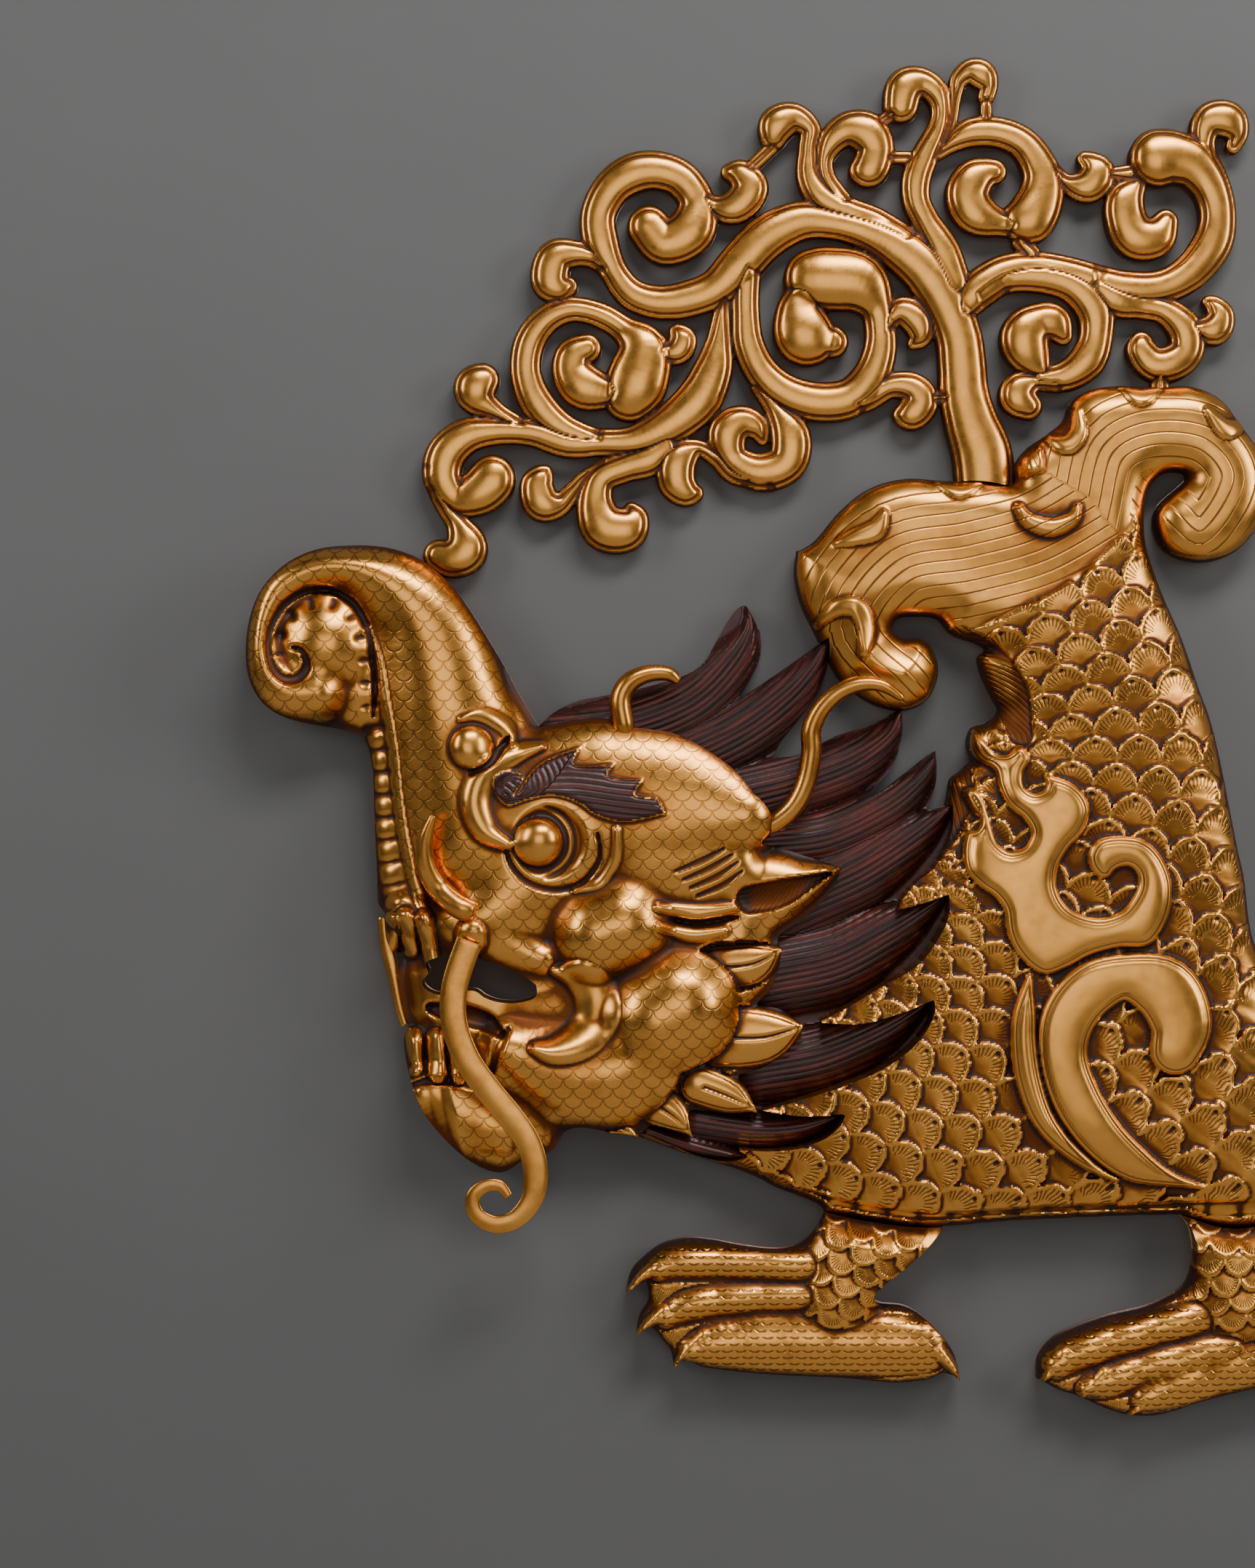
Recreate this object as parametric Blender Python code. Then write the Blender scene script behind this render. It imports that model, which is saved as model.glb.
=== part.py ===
"""Copper dragon wall hanging: a hammered and gilt makara with an openwork scroll crest.

Every sheet has a flat back on the wall plane y = 0 and is raised towards the viewer at -Y.
Outlines are drawn in drawing units (x right, y down), which UNIT turns into metres.
"""
import bmesh
import bpy
import numpy as np

# Driving sizes in metres
FIGURE_HEIGHT = 0.935
HEAD_RIM = 0.014
TRUNK_RISE = 0.036
SKULL_RISE = 0.036
CHEEK_RISE = 0.043
JAW_RISE = 0.030
HEAD_VALLEY = 0.004
EAR_RISE = 0.020
EAR_DEPTH = 0.009
LEAF_RISE = 0.010
NOSTRIL_RISE = 0.008
EYE_RISE = 0.011
BROW_RISE = 0.003
TOOTH_RISE = 0.009
WHISKER_ROOT_RISE = 0.016
LIP_DEPTH = 0.004
RIB_DEPTH = 0.004
RIB_WAVE = 0.0015
BODY_RIM = 0.012
BODY_RISE = 0.030
FIN_RISE = 0.018
FOLD_RISE = 0.006
WING_RISE = 0.0055
MANE_RIM = 0.007
LOCK_RISE = 0.010
LOCK_STEP = 0.0006
CREST_RIM = 0.009
LEG_RIM = 0.010
LEG_RISE = 0.022
TOE_RISE = 0.018
CLAW_LIFT = 0.004
CLAW_RISE = 0.010
LEG_VALLEY = 0.003
WHISKER_THICKNESS = 0.003
WHISKER_STANDOFF = HEAD_RIM + JAW_RISE + 0.010
FAR_WHISKER_THICKNESS = 0.006
HORN_STANDOFF = HEAD_RIM + SKULL_RISE - 0.010
HORN_SWING = 0.014
TUSK_LIFT = 0.003

# Clearances in metres: between neighbouring sheets, and around what is soldered into or onto one
SEAM = 0.0012
SOCKET_CLEARANCE = 0.0006

# Share of its half width that a branch of the crest rises by
CREST_ROUNDNESS = 0.45

# The drawing: its height, and the point of it that sits on the wall mount
DRAWING_HEIGHT = 1870
MOUNT_POINT = (1450, 1250)
UNIT = FIGURE_HEIGHT / DRAWING_HEIGHT

# Raising grid in drawing units, and the triangles that a raised front keeps
SHEET_CELL = 5.0
CREST_CELL = 4.0
FRONT_TRIANGLES = {
    "head": 1400,
    "mane": 400,
    "body": 1400,
    "scroll_crest": 1300,
    "front_leg": 230,
    "hind_leg": 230,
    "whisker_far": 50,
}

# Scroll crest: each branch is a centre line of (x, y, radius)
CREST = {
 "main": [(1356,655,42),(1352,620,42),(1338,580,38),(1328,540,35),(1325,500,34),(1320,460,33),(1303,415,33),
          (1275,370,34),(1235,335,32),(1190,313,26),(1145,302,24),(1100,300,28),(1055,322,31),(1018,360,31),
          (985,392,27),(945,408,26),(905,412,24),(868,400,22),(843,368,20),(826,330,25),(822,292,25),(840,255,26),
          (870,234,28),(905,230,27),(938,243,26),(958,275,26),(950,312,34),(915,330,32),(892,308,30)],
 "low_stem": [(998,395,7),(992,430,12),(988,470,19),(980,508,28),(958,550,32),(915,585,28),(870,604,22),
          (825,606,20),(780,606,22),(730,592,20),(682,590,20),(640,597,25),(612,622,28),(607,656,27),(628,684,24),
          (655,676,32),(672,662,34),(676,655,32)],
 "foot": [(590,640,10),(598,672,12),(612,698,13),(630,722,18),(640,752,30),(622,766,28),(602,762,22)],
 "bud_a": [(768,602,5),(737,592,9),(707,578,12),(680,563,15),(655,545,24),(652,530,30),(662,520,24)],
 "ring_b": [(830,606,16),(775,588,22),(738,552,24),(722,510,22),(727,468,22),(750,436,20),(785,422,18),
          (825,430,18),(860,452,20),(885,480,36),(876,520,44),(865,540,38)],
 "bulb_b": [(842,538,20),(805,530,32),(787,510,29),(788,487,26),(806,476,21)],
 "bud_b": [(868,448,5),(885,465,11),(905,480,14),(930,480,20),(939,465,20),(932,454,13)],
 "bud_c": [(860,394,4),(838,372,9),(812,350,15),(785,345,20),(762,352,26),(755,380,27),(766,392,22),(780,390,14)],
 "bud_d": [(930,225,5),(955,250,9),(980,278,15),(1010,281,24),(1032,256,26),(1020,236,21),(1003,232,12)],
 "link_d": [(1030,228,10),(1062,198,10)],
 "twig_a": [(1064,184,19),(1070,166,26),(1092,157,21),(1114,172,16),(1112,200,14),(1113,237,18),(1132,268,22),
          (1168,286,20),(1205,300,20),(1245,325,20)],
 "twig_b": [(1160,272,14),(1138,242,14),(1134,215,14),(1146,188,20),(1168,173,25),(1193,178,30),(1205,200,27),
          (1198,226,27),(1190,230,22)],
 "link_b": [(1225,212,9),(1250,212,9)],
 "twig_c": [(1240,140,25),(1246,116,27),(1266,108,22),(1287,120,19),(1296,145,15),(1292,172,16),(1276,205,19),
          (1262,240,21),(1262,272,20),(1276,302,20),(1298,340,24),(1312,385,26)],
 "link_c": [(1232,150,10),(1214,162,10)],
 "twig_d": [(1358,128,12),(1361,112,14),(1351,97,21),(1335,93,17),(1320,106,13),(1315,130,9),(1310,160,9),
          (1300,190,9)],
 "link_e": [(1358,132,8),(1358,160,9)],
 "ring_e": [(1288,212,7),(1310,192,14),(1340,177,21),(1378,178,22),(1412,195,23),(1434,232,27),(1434,265,32),
          (1420,295,36),(1407,300,30)],
 "bulb_e": [(1400,306,18),(1375,302,20),(1345,290,30),(1332,265,31),(1340,244,29),(1356,234,22),(1369,232,18)],
 "bud_e": [(1438,205,4),(1452,228,9),(1470,248,14),(1498,252,24),(1512,235,25),(1505,222,18),(1494,214,11)],
 "link_f": [(1405,330,12),(1420,345,14)],
 "ring_f": [(1322,430,18),(1342,400,27),(1380,374,27),(1425,364,23),(1470,370,22),(1510,383,24),(1550,394,26),
          (1600,391,24),(1640,370,26),(1670,332,28),(1678,292,26),(1668,252,28),(1645,222,34),(1615,212,38),
          (1596,213,41)],
 "bulb_f": [(1566,250,14),(1550,272,27),(1552,300,30),(1566,322,32),(1592,322,28),(1606,301,18)],
 "bud_f": [(1692,262,5),(1680,235,9),(1664,206,13),(1658,182,19),(1668,160,24),(1692,160,26),(1705,178,16),
          (1700,196,11)],
 "link_g": [(1530,235,10),(1556,235,14)],
 "ring_g": [(1345,400,24),(1380,378,24),(1430,374,26),(1478,388,26),(1507,420,27),(1510,458,24),(1498,492,26),
          (1468,514,22),(1432,518,16)],
 "bulb_g": [(1432,506,16),(1414,478,32),(1412,456,34),(1430,441,28),(1450,440,26),(1464,458,14)],
 "bud_g": [(1455,524,14),(1425,522,15),(1404,532,24),(1402,545,26),(1416,556,20)],
 "twig_g": [(1510,383,24),(1536,405,28),(1572,416,20),(1605,424,20),(1632,448,25),(1635,478,25),(1615,496,26),
          (1590,498,25),(1573,480,22),(1572,470,18)],
 "bud_h": [(1625,428,7),(1645,446,12),(1672,450,23),(1682,432,20),(1674,417,14),(1664,411,8)],
 "link_h": [(1598,515,12),(1598,534,14)],
 "ring_k": [(1030,350,20),(1026,395,20),(1026,430,20),(1030,470,22),(1048,508,24),(1080,536,26),(1125,550,28),
          (1168,545,28),(1196,518,26),(1210,485,24),(1212,450,22),(1205,415,26),(1180,385,42),(1140,380,45),
          (1120,380,42)],
 "bulb_k": [(1105,405,26),(1100,430,34),(1108,458,42),(1128,464,28),(1145,467,23)],
 "bud_k": [(1215,480,12),(1222,445,13),(1240,424,20),(1262,437,23),(1268,458,17),(1257,470,8)],
 "bud_l": [(1150,558,12),(1190,549,16),(1225,528,18),(1255,530,22),(1268,548,25),(1256,566,24),(1240,568,12)],
 "link_l": [(1285,545,10),(1305,545,10)],
 "ring_m": [(1040,530,8),(1068,562,16),(1088,598,28),(1082,634,28),(1045,647,27),(1009,628,22),(1000,596,28),
          (1018,578,24),(1040,584,18),(1049,602,9)],
 "bud_m": [(1060,662,12),(1010,652,12),(985,628,12),(958,614,13),(932,632,27),(930,658,27),(942,674,21),(955,676,13)],
 "bud_n": [(830,634,6),(805,652,9),(786,674,13),(768,692,17),(745,690,26),(737,668,24),(742,656,19),(750,646,9)],
 "bud_o": [(915,612,20),(892,630,24),(860,640,22),(826,656,22),(818,690,26),(830,722,33),(858,727,31),
          (872,712,20),(868,700,12)],
}


HEAD = [(741,1000),(741,1000),(715,958),(688,908),(664,868),(645,838),(626,811),(603,789),(578,770),(545,757),
 (515,752),(480,751),(440,757),(400,776),(368,808),(349,846),(342,888),(345,928),(358,958),(378,978),(404,990),
 (436,997),(470,1003),(500,1012),(500,1012),(509,1035),(514,1065),(515,1100),(517,1150),(519,1206),(520,1240),
 (530,1254),(530,1254),(532,1290),(545,1308),(556,1312),(549,1335),(550,1360),(556,1390),(563,1412),(563,1412),
 (556,1425),(557,1448),(564,1475),(564,1475),(572,1500),(585,1527),(606,1555),(635,1584),(665,1605),(690,1611),
 (712,1598),(722,1587),(722,1587),(757,1583),(775,1557),(800,1548),(840,1556),(878,1563),(878,1563),(895,1547),
 (925,1553),(952,1562),(952,1562),(947,1545),(950,1526),(1000,1530),(1040,1528),(1040,1528),(1028,1500),(1015,1479),
 (1050,1466),(1085,1441),(1104,1410),(1104,1410),(1070,1387),(1040,1382),(1058,1360),(1070,1330),(1073,1303),
 (1073,1303),(1070,1287),(1100,1265),(1125,1244),(1145,1220),(1156,1192),(1156,1192),(1110,1178),(1080,1168),
 (1045,1160),(1060,1140),(1056,1115),(1033,1088),(1006,1057),(968,1030),(930,1010),(891,1003),(860,999),(832,988),
 (787,991),(760,996)]
MOUTH_GAP = [(587,1322),(606,1313),(640,1303),(660,1315),(700,1330),(722,1341),(738,1352),(738,1352),(737,1369),(712,1377),
 (687,1376),(668,1370),(650,1360),(612,1366),(592,1362),(581,1350),(590,1336)]

MANE = [(700,1030),(738,1000),(764,977),(795,963),(830,956),(880,946),(937,930),(966,912),(985,882),(1000,855),
 (1014,836),(1025,831),(1025,831),(1038,853),(1048,877),(1045,905),(1034,930),(1014,962),(1014,962),(1045,942),
 (1080,918),(1110,897),(1139,876),(1139,876),(1140,905),(1129,945),(1102,985),(1078,1015),(1062,1042),(1062,1042),
 (1102,1037),(1150,1012),(1200,995),(1240,974),(1240,974),(1241,1010),(1230,1052),(1206,1080),(1172,1108),
 (1172,1108),(1210,1090),(1250,1060),(1286,1032),(1286,1032),(1290,1062),(1285,1092),(1275,1116),(1275,1116),
 (1310,1106),(1310,1106),(1308,1140),(1297,1168),(1280,1194),(1258,1212),(1240,1232),(1232,1250),(1232,1250),
 (1265,1241),(1301,1228),(1301,1228),(1298,1262),(1280,1297),(1255,1327),(1203,1358),(1165,1382),(1123,1404),
 (1123,1404),(1180,1405),(1232,1391),(1280,1371),(1280,1371),(1279,1392),(1266,1418),(1237,1448),(1187,1477),
 (1110,1506),(1046,1525),(1046,1525),(1100,1531),(1160,1527),(1160,1527),(1150,1545),(1130,1562),(1095,1575),
 (1050,1580),(1012,1578),(1012,1578),(1030,1587),(1030,1587),(1000,1597),(960,1590),(930,1577),(895,1562),(860,1545),
 (860,1500),(900,1200),(760,1060)]

BODY = [(1393,665),(1350,661),(1300,660),(1245,657),(1195,671),(1155,702),(1121,742),(1096,758),(1096,758),(1093,790),
 (1102,830),(1120,868),(1138,905),(1158,938),(1200,968),(1245,977),(1277,960),(1291,925),(1284,893),(1266,878),
 (1244,878),(1228,866),(1236,850),(1262,847),(1290,851),(1310,872),(1342,884),(1358,893),(1358,893),(1346,904),
 (1352,930),(1366,960),(1374,978),(1356,994),(1338,1000),(1331,1022),(1337,1046),(1337,1046),(1322,1060),(1308,1072),
 (1303,1100),(1285,1150),(1215,1200),(1190,1260),(1150,1340),(1090,1400),(1060,1480),(1010,1530),(940,1545),(860,1540),(810,1548),(876,1564),(938,1586),(1024,1613),
 (1069,1635),(1119,1654),(1136,1668),(1136,1668),(1210,1682),(1280,1689),(1380,1681),(1460,1677),(1560,1673),(1625,1672),
 (1625,1672),(1700,1690),(1775,1668),(1792,1610),(1794,1540),(1784,1470),(1764,1400),(1742,1340),(1722,1280),(1713,1209),(1704,1168),
 (1692,1107),(1680,1046),(1666,989),(1651,948),(1627,878),(1602,821),(1585,775),(1576,740),(1575,700),(1583,668),(1602,650),(1624,648),
 (1634,656),(1620,670),(1598,690),(1589,712),(1596,744),(1617,765),(1655,772),(1695,761),(1726,731),(1743,690),
 (1743,648),(1729,612),(1706,580),(1680,547),(1640,530),(1590,531),(1540,529),(1500,535),(1474,552),(1464,576),
 (1438,598),(1412,616),(1396,640)]

FRONT_LEG = [(1136,1668),(1136,1668),(1124,1692),(1104,1712),(1070,1721),(1019,1716),(983,1709),(947,1706),(912,1714),
 (886,1732),(868,1752),(861,1776),(861,1776),(886,1762),(892,1790),(880,1812),(874,1834),(874,1834),(896,1828),
 (914,1848),(922,1858),(926,1878),(926,1878),(945,1870),(965,1880),(1000,1886),(1060,1892),(1161,1897),(1230,1903),
 (1275,1899),(1297,1890),(1318,1896),(1318,1896),(1314,1868),(1300,1845),(1272,1816),(1244,1800),(1208,1795),
 (1201,1780),(1218,1762),(1250,1737),(1284,1706),(1302,1684),(1302,1684),(1210,1682)]

HIND_LEG = [(1625,1672),(1625,1672),(1638,1689),(1644,1718),(1642,1748),(1632,1772),(1606,1789),(1575,1802),
 (1529,1813),(1483,1829),(1450,1846),(1430,1872),(1428,1897),(1428,1897),(1455,1912),(1485,1922),(1518,1937),
 (1545,1946),(1577,1949),(1610,1944),(1640,1930),(1690,1918),(1740,1905),(1790,1902),(1830,1905),(1852,1900),(1860,1903),
 (1860,1903),(1856,1876),(1838,1846),(1812,1822),(1780,1808),(1752,1795),(1744,1775),(1752,1745),(1768,1710),(1778,1668),(1778,1668),(1700,1690)]

HORN_NEAR = [(1041,1138,12),(1064,1130,13),(1090,1107,14),(1106,1073,14),(1113,1034,14),(1113,1004,14),(1125,977,13),
 (1148,954,12),(1178,942,11),(1209,944,9),(1236,962,7)]
HORN_FAR = [(862,1014,14),(856,990,15),(853,962,15),(865,939,14),(891,927,12),(918,927,10),(933,938,8)]
TUSK = [(600,1120,5),(588,1155,7),(590,1189,9),(606,1219,11),(634,1244,13),(656,1250,14)]
WHISKER_NEAR = [(649,1290,18),(629,1350,18),(628,1400,18),(645,1449,18),(673,1490,18),(704,1528,18),(728,1562,17),
 (738,1600,17),(734,1638,15),(712,1666,13),(683,1674,12),(658,1660,11),(654,1636,10),(670,1622,9),(690,1622,8),(702,1636,6)]
WHISKER_FAR = [(524,1262,7),(529,1300,9),(539,1345,8),(547,1385,7),(555,1412,6)]

# Swellings of the head: centre lines of (x, y, radius), and balls of (x, y, radius)
TRUNK = [(648,1150,92),(632,1060,92),(612,980,86),(598,900,80),(574,845,66),(532,800,48),(482,783,32),(425,787,31),
         (382,820,28),(359,870,19),(359,918,19),(382,950,28),(420,965,34),(465,955,40),(500,975,30)]
TRUNK_BALL = (436, 892, 62)
THROAT = [(520,1000,24),(528,1060,26),(535,1130,28),(545,1200,32),(560,1240,34)]
CRANIUM = [(770,1125,130),(840,1120,130),(910,1130,118),(965,1145,92),(1010,1140,62),(1045,1140,30)]
FACE = [(735,1150,120),(700,1230,92),(662,1262,62)]
UPPER_CHEEK = (838, 1280, 84)
LOWER_CHEEK = (917, 1388, 88)
JAW = [(728,1450,44),(790,1458,68),(850,1450,70)]
CHIN = [(606,1492,42),(640,1535,58),(690,1552,56)]
UPPER_LIP = [(560,1250,36),(612,1272,34),(690,1305,30),(745,1332,22)]
EAR = [(975,1215,50),(1040,1218,52),(1095,1214,34),(1135,1200,14),(1154,1193,3)]
EAR_HOLLOW = [(1030,1236,20),(1070,1228,20),(1115,1210,9),(1140,1200,3)]
FRILL = [
    [(985,1330,34),(1030,1325,32),(1060,1312,14),(1072,1304,3)],
    [(990,1425,46),(1045,1425,40),(1085,1415,18),(1102,1410,3)],
    [(960,1490,30),(1000,1505,26),(1030,1520,9),(1039,1527,3)],
    [(890,1510,34),(925,1532,24),(946,1553,7),(951,1561,3)],
    [(810,1535,22),(845,1545,16),(870,1557,5),(877,1562,2)],
]
NOSTRIL = (651, 1028, 30)
EYE = (741, 1157, 36)
WHISKER_ROOT = (650, 1292, 20)
LIP_GROOVE = [(735,1352,10),(760,1368,14),(775,1380,12)]
HEAD_RIDGES = [
    ([(702,1155,8),(672,1135,13),(661,1100,16),(679,1064,16),(714,1038,14),(740,1028,8)], 0.005),
    ([(704,1140,5),(712,1120,6),(738,1104,7),(768,1103,8),(797,1120,8),(808,1155,8),(798,1190,8),(765,1210,8),
      (728,1203,7),(706,1178,6)], 0.004),
    ([(845,1136,5),(846,1180,6),(828,1212,6),(790,1218,4)], 0.003),
    ([(745,1336,9),(780,1334,13),(808,1352,14),(816,1382,14),(803,1408,13),(775,1421,11),(750,1414,7)], 0.007),
    ([(773,1240,7),(758,1285,9),(745,1325,7)], 0.003),
    ([(577,1213,7),(605,1252,9),(640,1280,8)], 0.004),
    ([(900,1240,5),(955,1250,7),(1006,1240,6)], 0.003),
]
TEETH = [
    [(537,1268,8),(536,1300,7)],
    [(556,1262,9),(558,1302,9)],
    [(574,1258,10),(592,1310,9)],
    [(568,1420,9),(574,1455,10)],
    [(594,1424,10),(604,1462,12)],
    [(622,1426,10),(634,1464,12)],
]
EYEBROW = [(704,1058),(722,1068),(716,1084),(712,1090),(742,1050),(799,1027),(799,1027),(792,1052),(846,1050),
           (846,1050),(838,1068),(885,1072),(885,1072),(874,1092),(903,1098),(914,1119),(914,1119),(860,1130),
           (820,1121),(795,1104),(760,1094),(725,1101),(700,1108),(682,1092),(682,1068)]
THROAT_RIBS = [(373,905),(375,870),(392,842),(424,824),(460,822),(490,840),(507,872),(518,912),(522,955),(521,1000),
               (527,1070),(532,1140),(540,1200),(548,1245)]
RIB_PITCH = 30
RIB_REACH = 16
BROW_ROUND = 8

# Locks of the mane, root to tip
LOCKS = [
    [(760,1010,30),(860,1000,46),(950,965,46),(1005,912,34),(1030,866,13),(1027,834,2)],
    [(900,1060,50),(1010,1010,48),(1082,958,36),(1122,912,16),(1138,878,2)],
    [(1000,1100,46),(1090,1078,44),(1168,1050,40),(1222,1012,20),(1239,976,2)],
    [(1060,1160,40),(1140,1150,40),(1225,1108,34),(1272,1066,16),(1286,1034,2)],
    [(1090,1240,56),(1180,1200,52),(1250,1155,34),(1290,1124,14),(1309,1107,2)],
    [(1070,1340,60),(1150,1322,58),(1228,1280,38),(1280,1246,14),(1300,1229,2)],
    [(1050,1470,50),(1130,1455,46),(1208,1422,32),(1260,1390,13),(1279,1372,2)],
    [(960,1545,30),(1040,1556,26),(1100,1552,21),(1142,1538,9),(1159,1528,2)],
    [(890,1555,12),(950,1576,14),(1005,1588,8),(1029,1588,2)],
]

# Body: where it becomes the flat fin, the fin's fold, and the raised bands of wing and spirals
FIN_TOP = 720
FIN_END = 900
BODY_ROUND = 150
FIN_ROUND = 50
BAND_ROUND = 12
FIN_FOLD = [(1398,700,8),(1412,718,12),(1442,727,14),(1470,716,11),(1478,698,6)]
WING = [(1337,1003),(1331,1026),(1342,1046),(1362,1059),(1368,1082),(1379,1107),(1400,1126),(1409,1145),(1401,1162),
        (1382,1168),(1366,1156),(1357,1129),(1349,1101),(1336,1084),(1322,1089),(1330,1110),(1342,1126),(1338,1139),
        (1324,1144),(1319,1172),(1324,1200),(1342,1219),(1360,1232),(1372,1250),(1376,1278),(1386,1302),(1405,1325),
        (1430,1338),(1460,1328),(1492,1311),(1530,1301),(1572,1297),(1598,1258),(1603,1215),(1590,1178),(1565,1153),
        (1530,1147),(1500,1153),(1487,1172),(1489,1190),(1501,1205),(1516,1206),(1526,1195),(1542,1191),(1553,1202),
        (1552,1222),(1535,1247),(1510,1258),(1485,1256),(1460,1243),(1447,1218),(1449,1190),(1463,1165),(1481,1145),
        (1491,1120),(1487,1098),(1470,1078),(1447,1068),(1430,1065),(1429,1082),(1415,1089),(1403,1080),(1402,1063),
        (1410,1045),(1404,1030),(1394,1026),(1380,1037),(1363,1034),(1350,1018)]
SPIRAL_BANDS = [
    [(1650,1628,3),(1600,1616,12),(1550,1594,26),(1506,1556,32),(1472,1505,35),(1454,1450,35),(1460,1398,38),
     (1492,1357,38),(1540,1340,33),(1592,1358,46),(1614,1402,44),(1606,1438,36)],
    [(1408,1340,6),(1401,1390,17),(1400,1430,19),(1407,1480,19),(1425,1530,17),(1455,1568,13),(1495,1600,8),
     (1530,1618,3)],
]

# Legs: swellings of the leg, toes and claws
FRONT_LEG_PARTS = (
    [[(1215,1675,88),(1175,1735,70),(1152,1785,56)]],
    [
        [(1110,1742,28),(1010,1736,27),(935,1736,27),(905,1745,20)],
        [(1110,1782,24),(1010,1786,26),(945,1796,26),(915,1812,18)],
        [(1270,1850,40),(1180,1850,47),(1060,1846,47),(985,1850,36),(950,1856,22)],
    ],
    [
        [(912,1738,14),(886,1752,9),(862,1775,2)],
        [(914,1802,13),(892,1818,8),(875,1833,2)],
        [(968,1836,14),(942,1857,8),(927,1877,2)],
        [(1288,1856,14),(1308,1878,8),(1317,1895,2)],
    ],
)
HIND_LEG_PARTS = (
    [[(1702,1680,84),(1698,1745,60),(1706,1790,64)]],
    [
        [(1650,1812,28),(1560,1836,28),(1485,1860,28),(1452,1876,24)],
        [(1690,1848,26),(1590,1877,28),(1520,1900,26),(1490,1908,16)],
        [(1790,1862,44),(1690,1880,42),(1620,1904,38),(1575,1922,26)],
    ],
    [
        [(1462,1862,15),(1446,1882,10),(1433,1897,3)],
        [(1518,1888,14),(1500,1904,9),(1487,1920,2)],
        [(1588,1914,15),(1570,1930,9),(1552,1944,2)],
        [(1826,1862,14),(1846,1884,8),(1858,1902,2)],
    ],
)

# The whisker's slot reaches to well in front of the relief, in metres
CUTTER_FRONT = 0.15
MERGE = 0.00001

# Faces of the flat back that differ by less than this angle, in radians, become one
BACK_ANGLE = 0.02


def spline(points, pieces, closed=False):
    """Smooth curve through the points; a point given twice makes a corner."""
    p = np.array(points, float)
    count = len(p)
    start = np.arange(count if closed else count - 1)

    def row(index):
        return p[index % count] if closed else p[np.clip(index, 0, count - 1)]

    a, b, c, d = row(start - 1), row(start), row(start + 1), row(start + 2)
    t = np.linspace(0, 1, pieces, endpoint=False)[:, None, None]
    curve = 0.5 * (2 * b + (c - a) * t + (2 * a - 5 * b + 4 * c - d) * t**2 + (3 * b - a - 3 * c + d) * t**3)
    curve = curve.transpose(1, 0, 2).reshape(-1, p.shape[1])
    if not closed:
        curve = np.vstack([curve, p[-1:]])
    apart = np.linalg.norm(np.diff(curve[:, :2], axis=0), axis=1) > 0.3
    return curve[np.r_[True, apart]]


def branch(points, x, y):
    """Distance inside a branch, and how full the round of its tube is (1 on its centre line)."""
    line = spline(points, 6)
    inside = np.full(x.shape, -1e3)
    full = np.zeros(x.shape)
    reach = line[:, 2].max() + 30
    near = (x > line[:, 0].min() - reach) & (x < line[:, 0].max() + reach)
    near &= (y > line[:, 1].min() - reach) & (y < line[:, 1].max() + reach)
    px, py = x[near], y[near]
    best, round_best = inside[near], full[near]
    for a, b in zip(line[:-1], line[1:]):
        along = b - a
        t = np.clip(((px - a[0]) * along[0] + (py - a[1]) * along[1]) / (along[0]**2 + along[1]**2), 0, 1)
        away = np.hypot(px - a[0] - t * along[0], py - a[1] - t * along[1])
        radius = a[2] + t * along[2]
        np.maximum(best, radius - away, out=best)
        tube = np.sqrt(np.clip(1 - (away / radius)**2, 0, 1)) * radius
        np.maximum(round_best, tube, out=round_best)
    inside[near], full[near] = best, round_best
    return inside, full


def outline(points, x, y):
    """Distance inside a closed outline, negative outside it."""
    line = spline(points, 5, closed=True)
    away = np.full(x.shape, 1e3)
    odd = np.zeros(x.shape, bool)
    for a, b in zip(line, np.roll(line, -1, axis=0)):
        along = b - a
        t = np.clip(((x - a[0]) * along[0] + (y - a[1]) * along[1]) / (along @ along), 0, 1)
        np.minimum(away, np.hypot(x - a[0] - t * along[0], y - a[1] - t * along[1]), out=away)
        if a[1] != b[1]:
            odd ^= ((a[1] > y) != (b[1] > y)) & (x < a[0] + (y - a[1]) * along[0] / along[1])
    return np.where(odd, away, -away)


def rounded(inside, width):
    """Quarter-round profile that is full at the given width from the edge."""
    return np.sqrt(1 - (1 - np.clip(inside / width, 0, 1))**2)


def lump(points, rise, x, y):
    """Half-round swelling along a branch, with the same rise all along."""
    line = spline(points, 6)
    full = np.zeros(x.shape)
    for a, b in zip(line[:-1], line[1:]):
        along = b - a
        t = np.clip(((x - a[0]) * along[0] + (y - a[1]) * along[1]) / (along[0]**2 + along[1]**2), 0, 1)
        away = np.hypot(x - a[0] - t * along[0], y - a[1] - t * along[1])
        radius = a[2] + t * along[2]
        np.maximum(full, np.sqrt(np.clip(1 - (away / radius)**2, 0, 1)), out=full)
    return rise * full


def ball(cx, cy, radius, rise, x, y):
    """Domed swelling around one point."""
    return rise * np.sqrt(np.clip(1 - ((x - cx)**2 + (y - cy)**2) / radius**2, 0, 1))


def blend(heights, softness):
    """Largest of the heights, with the valleys between them softened."""
    total = heights[0]
    for other in heights[1:]:
        overlap = np.clip(softness - np.abs(total - other), 0, None) / softness
        total = np.maximum(total, other) + softness * overlap**2 / 4
    return total


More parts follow.
